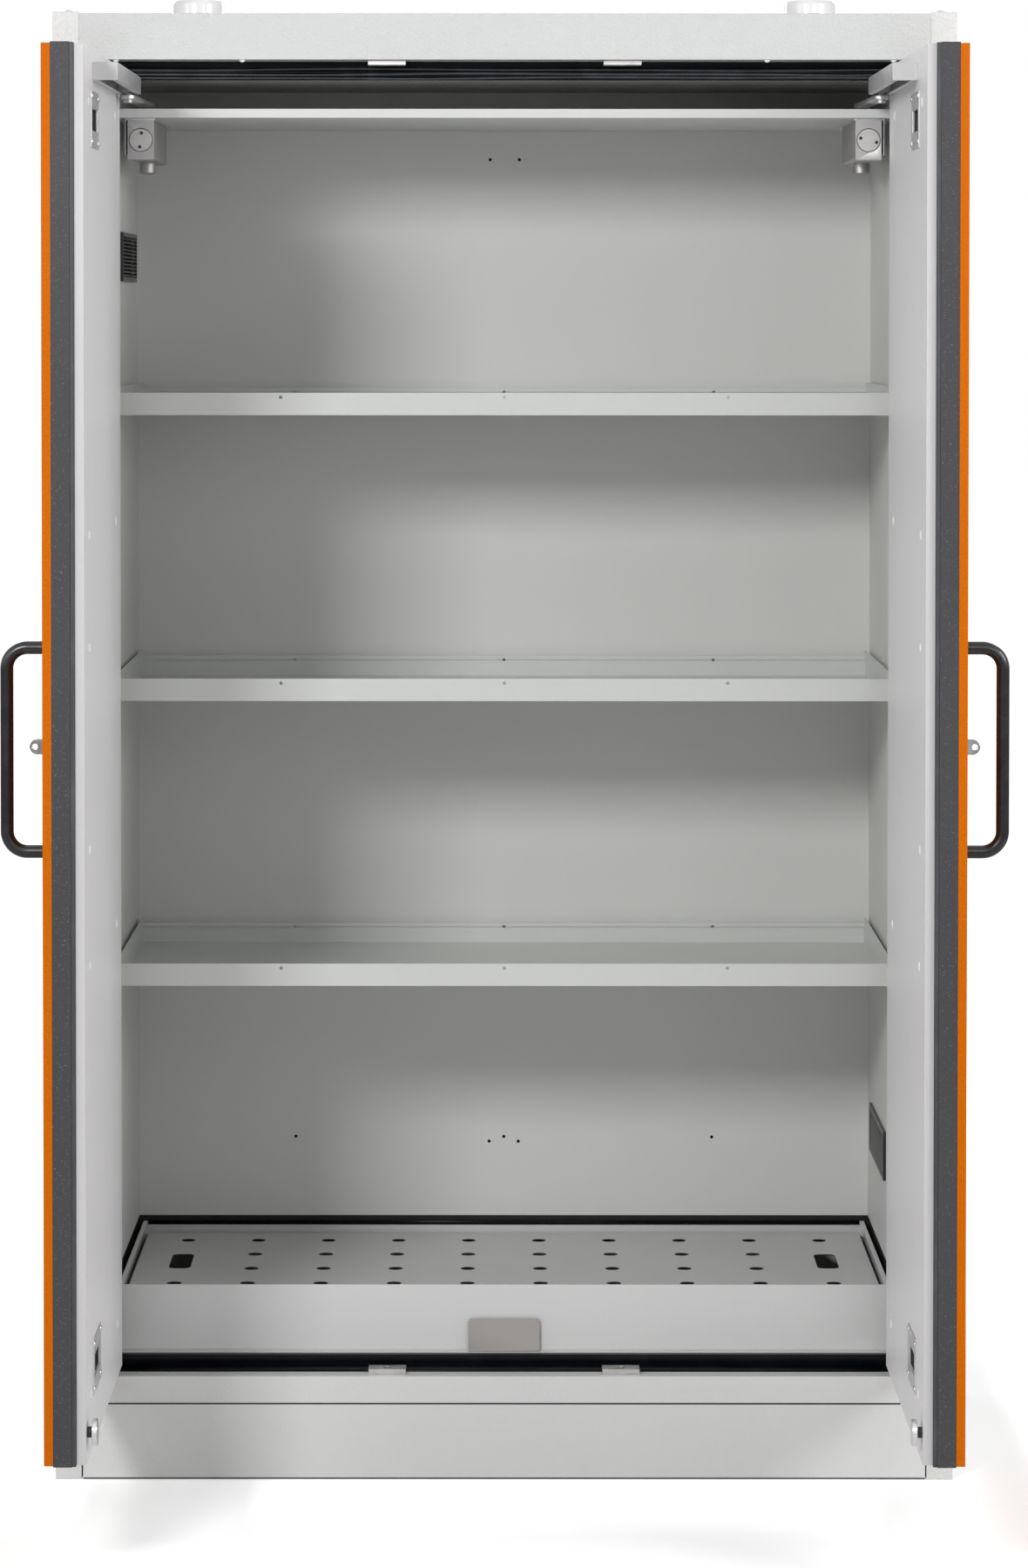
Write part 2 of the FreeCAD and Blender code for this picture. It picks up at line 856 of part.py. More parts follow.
def make_handle():
    """A bent round tube, square to the door at both ends."""
    body = body_named("door_handle_left")
    grip_x = door_outer - d.handle_reach
    handle_y = door_free + d.handle_edge
    high = d.handle_height + d.handle_centres / 2
    low = d.handle_height - d.handle_centres / 2
    bend = d.handle_bend
    path = new_sketch(body, "handle_path", "XZ_Plane", -handle_y)

    def point(x, z):
        return FreeCAD.Vector(as_size(x).number, as_size(z).number, 0)

    def quarter(centre_x, centre_z, start, end):
        circle = Part.Circle(point(centre_x, centre_z), FreeCAD.Vector(0, 0, 1), bend.number)
        return Part.ArcOfCircle(circle, math.radians(start), math.radians(end))

    path.addGeometry(Part.LineSegment(point(door_outer, high), point(grip_x + bend, high)), False)
    path.addGeometry(quarter(grip_x + bend, high - bend, 90, 180), False)
    path.addGeometry(Part.LineSegment(point(grip_x, high - bend), point(grip_x, low + bend)), False)
    path.addGeometry(quarter(grip_x + bend, low + bend, 180, 270), False)
    path.addGeometry(Part.LineSegment(point(grip_x + bend, low), point(door_outer, low)), False)
    hold_point(path, 0, 1, door_outer, high)
    hold_point(path, 4, 2, door_outer, low)
    path.addConstraint(Sketcher.Constraint("Horizontal", 0))
    path.addConstraint(Sketcher.Constraint("Vertical", 2))
    path.addConstraint(Sketcher.Constraint("Horizontal", 4))
    path.addConstraint(Sketcher.Constraint("Tangent", 0, 2, 1, 1))
    path.addConstraint(Sketcher.Constraint("Tangent", 1, 2, 2, 1))
    path.addConstraint(Sketcher.Constraint("Tangent", 2, 2, 3, 1))
    path.addConstraint(Sketcher.Constraint("Tangent", 3, 2, 4, 1))
    index = path.addConstraint(Sketcher.Constraint("DistanceX", -1, 1, 2, 1, grip_x.number))
    bind(path, f"Constraints[{index}]", grip_x)
    index = path.addConstraint(Sketcher.Constraint("Radius", 1, bend.number))
    bind(path, f"Constraints[{index}]", bend)
    path.addConstraint(Sketcher.Constraint("Equal", 1, 3))
    ring = new_sketch(body, "handle_section", "YZ_Plane", door_outer)
    draw_circle(ring, handle_y, high, d.handle_radius)
    tube = body.newObject("PartDesign::AdditivePipe", "handle_tube")
    tube.Profile = ring
    tube.Spine = (path, [])
    return body


def make_lug():
    """A steel ear with a hole for a padlock shackle."""
    y = (door_free + d.lug_edge, door_free + d.lug_edge + d.lug_plate)
    half = d.lug_tall / 2
    tip = door_outer - d.lug_reach + half
    plate = block("lug_plate_blank", (tip, door_outer), y, (d.lug_height - half, d.lug_height + half))
    nose = rod("lug_nose", "y", (tip, d.lug_height), y, half)
    hole_y = (y[0] - 1, y[1] + 1)
    hole = rod("lug_hole", "y", (door_outer - d.lug_hole_out, d.lug_height), hole_y, d.lug_hole_radius)
    trim_z = (d.lug_height - d.lug_tall, d.lug_height + d.lug_tall)
    trim = block("lug_trim", (door_outer, door_outer + d.lug_reach), hole_y, trim_z)
    return cut("padlock_lug_left", join("lug_blank", [plate, nose]), [hole, trim])


def make_guide_rail():
    """A C-section rail on the door's inner face, open below, with its free end closed."""
    far = hinge_y - d.rail_start
    near = far - d.rail_length
    low, high = rail_low, rail_low + d.rail_tall
    left, right = door_inner, door_inner + d.rail_wide
    lip = d.rail_lip + d.rail_wall
    path = ((left + lip, low), (left, low), (left, high), (right, high), (right, low), (right - lip, low))
    channel = extrude("rail_channel", "y", folded_outline(path, d.rail_wall, -1), (near, far))
    end = block("rail_end", (left, right), (near, near + d.rail_wall), (low, high))
    return join("guide_rail_left", [channel, end])


def make_slider():
    """The block that runs in the guide rail, with the pin that carries the arm."""
    clear = d.slider_clear
    half = d.rail_wide / 2 - d.rail_wall - clear
    long = d.slider_long / 2
    low = rail_low + d.rail_wall + clear
    high = rail_low + d.rail_tall - d.rail_wall - clear
    runner = block("runner", (rail_x - half, rail_x + half), (slider_y - long, slider_y + long), (low, high))
    pin = rod("slider_pin_rod", "z", (rail_x, slider_y), (arm_low - clear, low + clear), d.slider_pin)
    head_z = (arm_low - clear - d.pin_head_tall, arm_low - clear)
    head = rod("slider_pin_head", "z", (rail_x, slider_y), head_z, d.pin_head_radius)
    return join("closer_slider_left", [runner, pin, head])


def make_arm():
    """A flat link from the slider's pin to the closer's spindle."""
    across = -d.spindle_x - rail_x
    along = d.spindle_y - slider_y
    length = root(across * across + along * along)
    half = d.arm_wide / 2
    ends = (0, length)
    bar = block("arm_bar", (-half, half), ends, (0, d.arm_thick))
    eyes = [rod(f"arm_eye_{index}", "z", (0, end), (0, d.arm_thick), half) for index, end in enumerate(ends)]
    hole = rod("arm_hole", "z", (0, 0), (-1, d.arm_thick + 1), d.slider_pin + d.pin_fit)
    arm = cut("closer_arm_left", join("arm_blank", [bar] + eyes), [hole])
    arm.Placement = FreeCAD.Placement(FreeCAD.Vector(), FreeCAD.Rotation(FreeCAD.Vector(0, 0, 1), 1))
    bind(arm, "Placement.Base.x", rail_x)
    bind(arm, "Placement.Base.y", slider_y)
    bind(arm, "Placement.Base.z", arm_low)
    arm.setExpression("Placement.Rotation.Angle", bearing(-across, along).text)
    return arm


def make_spindle():
    """The closer's output spindle, turned with a cap below and a square above."""
    x, y = -d.spindle_x, d.spindle_y
    fit = d.pin_fit
    cap_z = (closer_low - fit - d.spindle_cap_tall, closer_low - fit)
    top = arm_low - d.spindle_clear
    flat = d.spindle_radius - 1
    neck = top - d.arm_thick * 2
    cap = rod("spindle_cap", "z", (x, y), cap_z, d.spindle_cap_radius)
    rounded = doc.addObject("Part::Chamfer", "spindle_cap_rounded")
    rounded.Base = cap
    doc.recompute()
    rounded.Edges = [(lowest_edge(cap), 1.5, 1.5)]
    shaft = rod("spindle_shaft", "z", (x, y), (cap_z[0] + 2, neck), d.spindle_radius)
    square = block("spindle_square", (x - flat, x + flat), (y - flat, y + flat), (neck - 1, top))
    return join("closer_spindle_left", [rounded, shaft, square])


def lowest_edge(item):
    """The number of the round edge that lies lowest on an upright bar."""
    rings = [
        (edge.BoundBox.ZMax, index)
        for index, edge in enumerate(item.Shape.Edges, start=1)
        if edge.BoundBox.ZLength < 0.01
    ]
    return min(rings)[1]


def make_closer_bodies():
    """The closers' cast housings, the lower edges rounded, bored for the spindles."""
    body = body_named("closer_housing_left")
    low_z, high_z = closer_low, closer_high
    front, back = d.closer_front, d.closer_front + d.closer_long
    sketch = new_sketch(body, "closer_section", "XZ_Plane", -back)
    draw_outline(
        sketch,
        ((closer_left, low_z), (closer_right, low_z), (closer_right, high_z), (closer_left, high_z)),
    )
    block_pad = add_pad(body, "closer_pad", sketch, back - front)
    doc.recompute()
    edges = []
    for index, edge in enumerate(block_pad.Shape.Edges, start=1):
        if edge.BoundBox.YLength > 1 and edge.BoundBox.ZMax < low_z.number + 1:
            edges.append(f"Edge{index}")
    rounding = body.newObject("PartDesign::Fillet", "closer_rounding")
    rounding.Base = (block_pad, edges)
    bind(rounding, "Radius", d.closer_round)
    bore = new_sketch(body, "closer_bore_section", "XY_Plane", low_z)
    draw_circle(bore, -d.spindle_x, d.spindle_y, d.spindle_radius + d.pin_fit)
    add_pocket(body, "closer_bore", bore, d.closer_tall * 4)
    return {"closer_bodies": group("closer_bodies", [body, mirrored("closer_housing_right", body)])}


def make_closer_mounts():
    """Brackets that hang both closers, and the caps on the closers' front ends."""
    front = d.closer_front
    plate_left = closer_left - d.bracket_gap - d.bracket_side
    plate_right = closer_right + d.bracket_side
    plate_y = (front, front + d.bracket_long)
    plate = block("bracket_plate_left", (plate_left, plate_right), plate_y, (closer_high, cover_low))
    side = block(
        "bracket_flange_left",
        (plate_left, plate_left + d.bracket_side),
        plate_y,
        (closer_high - d.bracket_drop, closer_high),
    )
    hole = rod(
        "bracket_hole",
        "z",
        (-d.spindle_x, d.spindle_y),
        (closer_high - 1, cover_low + 1),
        d.spindle_cap_radius,
    )
    left = cut("closer_bracket_left", join("bracket_blank", [plate, side]), [hole])
    right = mirrored("closer_bracket_right", left)

    cap_y = (front - d.closer_cap, front)
    middle_z = (closer_low + closer_high) / 2
    cap = block("end_cap_blank", (closer_left, closer_right), cap_y, (closer_low, closer_high))
    seat_y = (cap_y[0] - 1, cap_y[0] + d.closer_plug_depth)
    seat = rod("plug_seat", "y", (-d.spindle_x, middle_z), seat_y, d.closer_plug_radius)
    plug = rod(
        "plug_disc",
        "y",
        (-d.spindle_x, middle_z),
        (cap_y[0], cap_y[0] + d.closer_plug_depth * 2),
        d.closer_plug_radius - 0.6,
    )
    holes = []
    for index, sign in enumerate((-1, 1)):
        hole_z = middle_z + sign * d.spanner_hole_pitch / 2
        hole_y = (cap_y[0] - 1, cap_y[0] + d.closer_plug_depth * 2)
        holes.append(rod(f"spanner_hole_{index}", "y", (-d.spindle_x, hole_z), hole_y, d.spanner_hole_radius))
    seated = cut("end_cap_seated", cap, [seat])
    cap_left = cut("end_cap_left", join("end_cap_plugged", [seated, plug]), holes)
    cap_right = mirrored("end_cap_right", cap_left)
    return {
        "closer_brackets": group("closer_brackets", [left, right]),
        "closer_end_caps": group("closer_end_caps", [cap_left, cap_right]),
    }


def make_cover_plate():
    """The sheet that hides the closers, turned up along its front and ends."""
    low, high = cover_low, cover_low + d.cover_flange
    depth = (d.cover_front, d.back_wall + d.sheet)
    tray = pan("cover_tray", (-inner_half, inner_half), depth, (low, high), d.sheet, "+z")
    back_cut = block(
        "cover_back_cut",
        (-inner_half - 1, inner_half + 1),
        (d.back_wall - d.sheet, d.back_wall + 2 * d.sheet),
        (low + d.sheet, high + 1),
    )
    trim = block(
        "cover_trim",
        (-inner_half - 1, inner_half + 1),
        (d.back_wall, d.back_wall + 3 * d.sheet),
        (low - 1, high + 1),
    )
    holes = [
        rod(
            f"spindle_way_{name}",
            "z",
            (side * d.spindle_x, d.spindle_y),
            (low - 1, high + 1),
            d.spindle_cap_radius + 2,
        )
        for side, name in ((-1, "left"), (1, "right"))
    ]
    return {"cover_plate": cut("cover_plate", tray, [back_cut, trim] + holes)}


def make_latch_plates():
    """Two face plates with a window, screwed to the door's inner face."""
    plates = []
    face = (door_inner, door_inner + d.latch_plate)
    for name, centre in (("low", latch_low), ("high", latch_high)):
        plate = block(
            f"latch_plate_blank_{name}",
            face,
            (latch_y - d.latch_wide / 2, latch_y + d.latch_wide / 2),
            (centre - d.latch_tall / 2, centre + d.latch_tall / 2),
        )
        window = block(
            f"latch_window_{name}",
            (face[0] - 1, face[1] + 1),
            (latch_y - d.window_wide / 2, latch_y + d.window_wide / 2),
            (centre - d.window_tall / 2, centre + d.window_tall / 2),
        )
        plates.append(cut(f"latch_plate_{name}", plate, [window]))
    return group("latch_plates_left", plates)


def make_bolt(end):
    """A round spring bolt with a collar that shows in the latch window."""
    at = (bolt_x, latch_y)
    half = d.bolt_collar_tall / 2
    if end == "top":
        centre = latch_high
        span = (centre - d.bolt_tail + 2, door_high - d.bolt_flush)
        collar_z = (centre - half - 6, centre + half - 6)
    else:
        centre = latch_low
        span = (door_low + d.bolt_flush, centre + d.bolt_tail - 2)
        collar_z = (centre - half + 6, centre + half + 6)
    shank = rod(f"bolt_shank_{end}", "z", at, span, d.bolt_radius)
    collar = rod(f"bolt_collar_{end}", "z", at, collar_z, d.bolt_collar_radius)
    return join(f"latch_bolt_{end}_left", [shank, collar])


def make_strikes():
    """Four strike plates that the latch bolts enter when the doors are shut."""
    plates = []
    half_x, half_y = d.strike_wide / 2, d.strike_deep / 2
    hole_radius = d.bolt_radius + d.strike_hole_clear
    for name, low, high in (
        ("top", apron_bottom - d.strike_thick, apron_bottom),
        ("bottom", d.sill_height, d.sill_height + d.strike_thick),
    ):
        plate = block(
            f"strike_{name}_blank",
            (strike_x - half_x, strike_x + half_x),
            (strike_y - half_y, strike_y + half_y),
            (low, high),
        )
        hole = rod(f"strike_{name}_hole", "z", (strike_x, strike_y), (low - 1, high + 1), hole_radius)
        left = cut(f"strike_{name}_left", plate, [hole])
        plates += [left, mirrored(f"strike_{name}_right", left)]
    return {"strike_plates": group("strike_plates", plates)}


def make_magnet():
    """A pot magnet on a short stem at the door's lower free corner."""
    at = (door_free + d.magnet_edge, d.magnet_height)
    face = door_inner + d.magnet_stand
    stem = rod("magnet_stem_rod", "x", at, (door_inner, face - d.magnet_thick + 1), d.magnet_stem)
    disc = rod("magnet_disc", "x", at, (face - d.magnet_thick, face), d.magnet_radius)
    return join("door_magnet_left", [stem, disc])


def make_keeper():
    """An angle plate in front of the sump for both magnets."""
    path = (
        (keeper_back, d.keeper_top),
        (keeper_back, d.floor_height),
        (d.frame_depth, d.floor_height),
    )
    outline = folded_outline(path, d.keeper_plate, -1)
    half, top, radius = d.keeper_half, d.keeper_top, d.keeper_round
    angle = extrude("keeper_angle", "x", outline, (-half, half))
    depth = (d.frame_depth, keeper_back + 1)
    square = block("keeper_corner_square", (-half - 1, -half + radius), depth, (top - radius, top + 1))
    bar = rod("keeper_corner_bar", "y", (-half + radius, top - radius), depth, radius)
    corner = cut("keeper_corner_left", square, [bar])
    corners = [corner, mirrored("keeper_corner_right", corner)]
    return {"magnet_keeper": cut("magnet_keeper", angle, corners)}


def make_hinge_solids(role):
    """Hinge leaves of one role, frame or door, one at each hinge height."""
    solids = []
    radius = d.knuckle_radius
    bore = d.hinge_pin_radius if role == "frame" else d.hinge_pin_radius + d.pin_fit
    share = d.knuckle_share
    clear = d.knuckle_clear
    axis = (hinge_x, hinge_y)
    for index, height in enumerate(hinge_heights):
        low, high = height - d.hinge_tall / 2, height + d.hinge_tall / 2
        ends = ((low, low + share), (high - share, high))
        middle = (low + share + clear, high - share - clear)
        hole = rod(f"{role}_bore_{index}", "z", axis, (low - 1, high + 1), bore)
        if role == "frame":
            plate = block(
                f"frame_leaf_{index}",
                (-opening_half, -opening_half + d.leaf),
                (hinge_y + radius + clear, hinge_y + radius + d.leaf_width),
                (low, high),
            )
            barrels = []
            for n, span in enumerate(ends):
                barrels.append(rod(f"frame_barrel_{index}_{n}", "z", axis, span, radius))
            tabs = [
                block(
                    f"frame_tab_{index}_{n}",
                    (-opening_half, -opening_half + d.leaf),
                    (hinge_y + radius * 0.7, hinge_y + radius + clear),
                    span,
                )
                for n, span in enumerate(ends)
            ]
        else:
            leaf_y = (door_root, door_root + d.leaf)
            plate = block(
                f"door_leaf_{index}",
                (hinge_x + radius + clear, hinge_x + radius + d.leaf_width),
                leaf_y,
                (low, high),
            )
            barrels = [rod(f"door_barrel_{index}", "z", axis, middle, radius)]
            tab_x = (hinge_x + radius * 0.7, hinge_x + radius + clear)
            tabs = [block(f"door_tab_{index}", tab_x, leaf_y, middle)]
        blank = join(f"hinge_{role}_blank_{index}", [plate] + barrels + tabs)
        solids.append(cut(f"hinge_{role}_{index}", blank, [hole]))
    return solids


def make_door_leaves():
    return group("hinge_door_leaves_left", make_hinge_solids("door"))


def make_frame_hinges():
    """Hinge leaves on the posts and the pins through all the knuckles."""
    left = make_hinge_solids("frame")
    leaves = left + [mirrored(f"hinge_frame_right_{index}", leaf) for index, leaf in enumerate(left)]
    pins = []
    for index, height in enumerate(hinge_heights):
        span = (height - d.hinge_tall / 2, height + d.hinge_tall / 2)
        pin = rod(f"hinge_pin_left_{index}", "z", (hinge_x, hinge_y), span, d.hinge_pin_radius)
        pins += [pin, mirrored(f"hinge_pin_right_{index}", pin)]
    return {
        "hinge_frame_leaves": group("hinge_frame_leaves", leaves),
        "hinge_pins": group("hinge_pins", pins),
    }


def make_grille(name, low):
    """A louvred air grille on the left wall: a frame with slanted slats."""
    high = low + d.grille_tall
    front, back = d.grille_front, d.grille_front + d.grille_long
    x = (-inner_half, -inner_half + d.grille_thick)
    band = d.grille_band
    frame = cut(
        f"{name}_frame",
        block(f"{name}_frame_blank", x, (front, back), (low, high)),
        [
            block(
                f"{name}_frame_hole",
                (x[0] - 1, x[1] + 1),
                (front + band, back - band),
                (low + band, high - band),
            )
        ],
    )
    slats = []
    count = int((d.grille_tall - 2 * band).number / d.slat_pitch.number)
    for index in range(count):
        top = high - band - d.slat_pitch * index
        corners = (
            (x[0], top - d.slat_thick),
            (x[1], top - d.slat_thick - d.slat_drop),
            (x[1], top - d.slat_drop),
            (x[0], top),
        )
        slats.append(extrude(f"{name}_slat_{index}", "y", corners, (front + band / 2, back - band / 2)))
    return join(name, [frame] + slats)


def make_grilles():
    """One supply grille high on the left wall, one exhaust grille low on the right wall."""
    left = make_grille("air_grille_left", grille_high)
    right = mirrored("air_grille_right", make_grille("air_grille_low", d.grille_low))
    return {"air_grilles": group("air_grilles", [left, right])}


def make_shelf(name, low):
    """A pressed shelf tray with hemmed front and rear lips and higher side lips."""
    half = d.shelf_half
    front, back = d.shelf_front, d.shelf_back
    top = low + d.shelf_lip
    side_top = low + d.shelf_side_lip
    wall = d.shelf_sheet
    hem = d.shelf_hem
    tray = pan(f"shelf_{name}_tray", (-half, half), (front, back), (low, top), wall, "+z")
    hem_z = (top - d.shelf_hem_tall, top)
    hems = [
        block(f"shelf_{name}_front_hem", (-half, half), (front, front + hem), hem_z),
        block(f"shelf_{name}_rear_hem", (-half, half), (back - hem, back), hem_z),
    ]
    sides = []
    for sign, side in ((-1, "left"), (1, "right")):
        x = (-half, -half + wall) if sign < 0 else (half - wall, half)
        sides.append(block(f"shelf_{name}_{side}_lip", x, (front + hem, back - hem), (top - wall, side_top)))
    holes = []
    for index, step in enumerate((-1, 0, 1)):
        at = (step * d.lip_hole_pitch, top - d.lip_hole_drop)
        holes.append(rod(f"shelf_{name}_hole_{index}", "y", at, (front - 1, back + 1), d.lip_hole_radius))
    return cut(f"shelf_{name}", join(f"shelf_{name}_blank", [tray] + hems + sides), holes)


def make_shelves():
    """Three shelf trays and the angle clips under their ends."""
    made = {}
    clips = []
    for index, name in enumerate(SHELVES):
        low = d.shelf_low + shelf_pitch * index
        made[f"shelf_{name}"] = make_shelf(name, low)
        spots = (d.shelf_front + d.support_inset, d.shelf_back - d.support_inset - d.support_long)
        for place, start in zip(("front", "rear"), spots):
            path = (
                (-inner_half + d.support_reach, low - d.support_thick),
                (-inner_half, low - d.support_thick),
                (-inner_half, low - d.support_thick + d.support_tall),
            )
            outline = folded_outline(path, d.support_thick, -1)
            clip = extrude(f"clip_{name}_{place}", "y", outline, (start, start + d.support_long))
            clips += [clip, mirrored(f"clip_{name}_{place}_right", clip)]
    made["shelf_clips"] = group("shelf_clips", clips)
    return made


def make_sump():
    """The spill tray on the cabinet floor: a bottom and four walls welded on it, their edges folded in."""
    half, front, back = d.sump_half, d.sump_front, d.sump_back
    wall, rim = d.sump_sheet, d.sump_rim
    thin_rim = rim / 2
    above = d.floor_height + wall
    wall_z = (above, d.sump_top - wall)
    rim_z = (d.sump_top - wall, d.sump_top)
    wide = (-half, half)
    bottom = block("sump_bottom", wide, (front, back), (d.floor_height, above))
    front_parts = [
        block("sump_front_wall", wide, (front, front + wall), wall_z),
        block("sump_front_rim", wide, (front, front + thin_rim), rim_z),
    ]
    rear_parts = [
        block("sump_rear_wall", wide, (back - wall, back), wall_z),
        block("sump_rear_rim", wide, (back - thin_rim, back), rim_z),
    ]
    left_parts = [
        block("sump_left_wall", (-half, -half + wall), (front + wall, back - wall), wall_z),
        block("sump_left_rim", (-half, -half + rim), (front + thin_rim, back - thin_rim), rim_z),
    ]
    left = join("sump_left_side", left_parts)
    right = mirrored("sump_right_side", left)
    walls = [join("sump_front_side", front_parts), join("sump_rear_side", rear_parts), left, right]
    return {"sump_tray": group("sump_tray", [bottom] + walls)}


def make_insert():
    """The perforated plate over the sump, with welded legs that stand on the sump's floor."""
    body = body_named("insert_plate")
    half = d.insert_half
    front = d.sump_front + d.sump_rim / 2 + d.insert_side_gap
    back = d.sump_back - d.sump_rim - d.insert_side_gap
    top = d.insert_top
    foot = d.floor_height + d.sump_sheet
    wall = d.insert_sheet
    under = top - wall
    blank = new_sketch(body, "insert_plate_outline", "XY_Plane", under)
    draw_outline(blank, ((-half, front), (half, front), (half, back), (-half, back)))
    add_pad(body, "insert_plate_pad", blank, wall)
    drains = new_sketch(body, "drain_outlines", "XY_Plane", top)
    for column in range(COLUMNS):
        x = (column - (COLUMNS - 1) / 2) * d.drain_pitch
        for row in range(ROWS):
            draw_circle(drains, x, d.drain_first_row + row * d.drain_pitch, d.drain_radius)
    outer = (COLUMNS + 1) / 2 * d.drain_pitch
    for side in (-1, 1):
        for row in (0, ROWS - 1):
            draw_circle(drains, side * outer, d.drain_first_row + row * d.drain_pitch, d.drain_radius)
    add_pocket(body, "drain_holes", drains, wall * 4)
    middle = d.drain_first_row + (ROWS - 1) / 2 * d.drain_pitch
    grips = []
    round_off = d.grip_round
    wide, long = d.grip_wide / 2, d.grip_long / 2
    grip_z = (under - wall, top + wall)
    for side, name in ((-1, "left"), (1, "right")):
        x = side * outer
        straight_y = (middle - long + round_off, middle + long - round_off)
        straight_x = (x - wide + round_off, x + wide - round_off)
        grips.append(block(f"grip_{name}_across", (x - wide, x + wide), straight_y, grip_z))
        grips.append(block(f"grip_{name}_along", straight_x, (middle - long, middle + long), grip_z))
        for corner, (sx, sy) in enumerate(((-1, -1), (1, -1), (1, 1), (-1, 1))):
            at = (x + sx * (wide - round_off), middle + sy * (long - round_off))
            grips.append(rod(f"grip_{name}_corner_{corner}", "z", at, grip_z, round_off))
    plate = cut("insert_plate_cut", body, grips)
    edge_z = (top - d.insert_fold, under)
    left_leg = block("insert_leg_left", (-half, -half + wall), (front, back), (foot, under))
    front_edge = block("insert_edge_front", (-half + wall, half - wall), (front, front + wall), edge_z)
    rear_edge = block("insert_edge_rear", (-half + wall, half - wall), (back - wall, back), edge_z)
    right_leg = mirrored("insert_leg_right", left_leg)
    parts = [plate, left_leg, right_leg, front_edge, rear_edge]
    return {"perforated_insert": group("perforated_insert", parts)}


def make_spigots():
    """Two duct spigots on the top and the plugs that close them."""
    tubes = []
    plugs = []
    base = d.top_height
    x, y = -d.spigot_x, spigot_y
    inside = d.spigot_radius - d.spigot_wall
    tall = base + d.spigot_tall
    flange = rod("spigot_flange_disc", "z", (x, y), (base, base + d.spigot_flange_thick), d.spigot_flange)
    tube = rod("spigot_tube", "z", (x, y), (base, tall), d.spigot_radius)
    bore = rod("spigot_bore", "z", (x, y), (base - 1, tall + 1), inside)
    left = cut("spigot_left", join("spigot_blank", [flange, tube]), [bore])
    tubes += [left, mirrored("spigot_right", left)]
    skirt = rod("plug_skirt", "z", (x, y), (tall - d.plug_depth, tall + 1), inside - d.plug_clear)
    head = rod("plug_head_disc", "z", (x, y), (tall, tall + d.plug_head), d.spigot_radius)
    rounded = doc.addObject("Part::Fillet", "plug_head_rounded")
    rounded.Base = head
    doc.recompute()
    rounded.Edges = [(highest_edge(head), d.plug_round.number, d.plug_round.number)]
    plug = join("plug_left", [rounded, skirt])
    plugs += [plug, mirrored("plug_right", plug)]
    return {
        "exhaust_spigots": group("exhaust_spigots", tubes),
        "spigot_plugs": group("spigot_plugs", plugs),
    }


def highest_edge(item):
    """The number of the round edge that lies highest on an upright bar."""
    rings = [
        (edge.BoundBox.ZMax, index)
        for index, edge in enumerate(item.Shape.Edges, start=1)
        if edge.BoundBox.ZLength < 0.01
    ]
    return max(rings)[1]


def build_all():
    """Every sub-part of the cabinet by the name of its file."""
    made = {}
    for maker in (
        make_case,
        make_insulation,
        make_lining,
        make_frame_seals,
        make_door,
        make_closer_bodies,
        make_closer_mounts,
        make_cover_plate,
        make_strikes,
        make_keeper,
        make_frame_hinges,
        make_grilles,
        make_shelves,
        make_sump,
        make_insert,
        make_spigots,
    ):
        made.update(maker())
    return made


def check_document(nodes):
    """Stop if an object failed to recompute or a sub-part has no valid shape."""
    faults = []
    for item in doc.Objects:
        if "Invalid" in item.State or "Error" in item.State:
            faults.append(f"{item.Name}: {item.State}")
    for name, item in nodes.items():
        if item.Shape.isNull() or not item.Shape.isValid():
            faults.append(f"{name}: no valid shape")
        elif not item.Shape.Solids:
            faults.append(f"{name}: no solid")
    if faults:
        print("\n".join(faults))
        sys.exit(1)


nodes = build_all()
for node_name, node in nodes.items():
    node.Label = node_name
doc.recompute()
check_document(nodes)
os.makedirs("parts", exist_ok=True)
for node_name, node in nodes.items():
    node.Shape.exportStep(f"parts/{node_name}.step")
print(f"{len(nodes)} sub-parts written")
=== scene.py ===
import json
import math

import bmesh
import bpy
import numpy as np
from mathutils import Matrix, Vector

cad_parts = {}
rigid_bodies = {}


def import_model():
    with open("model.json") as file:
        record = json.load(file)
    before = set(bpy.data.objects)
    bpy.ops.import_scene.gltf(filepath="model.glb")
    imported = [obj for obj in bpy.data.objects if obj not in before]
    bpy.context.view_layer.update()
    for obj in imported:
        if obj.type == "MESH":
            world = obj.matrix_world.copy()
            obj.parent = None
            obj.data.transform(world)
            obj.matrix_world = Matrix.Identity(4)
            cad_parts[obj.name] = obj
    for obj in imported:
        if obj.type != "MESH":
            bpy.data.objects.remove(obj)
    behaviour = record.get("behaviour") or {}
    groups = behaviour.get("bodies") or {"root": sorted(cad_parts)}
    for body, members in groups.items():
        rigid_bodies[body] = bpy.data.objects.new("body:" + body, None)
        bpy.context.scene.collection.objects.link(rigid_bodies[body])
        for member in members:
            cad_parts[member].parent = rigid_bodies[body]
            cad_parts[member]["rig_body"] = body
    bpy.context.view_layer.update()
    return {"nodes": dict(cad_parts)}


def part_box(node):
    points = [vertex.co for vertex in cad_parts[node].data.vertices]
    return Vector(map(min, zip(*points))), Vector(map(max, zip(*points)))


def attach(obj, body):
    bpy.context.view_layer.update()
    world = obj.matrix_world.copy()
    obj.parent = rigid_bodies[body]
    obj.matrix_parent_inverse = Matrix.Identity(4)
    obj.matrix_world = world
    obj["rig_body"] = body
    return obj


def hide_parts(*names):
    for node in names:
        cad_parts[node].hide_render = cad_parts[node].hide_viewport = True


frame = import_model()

nodes = frame["nodes"]


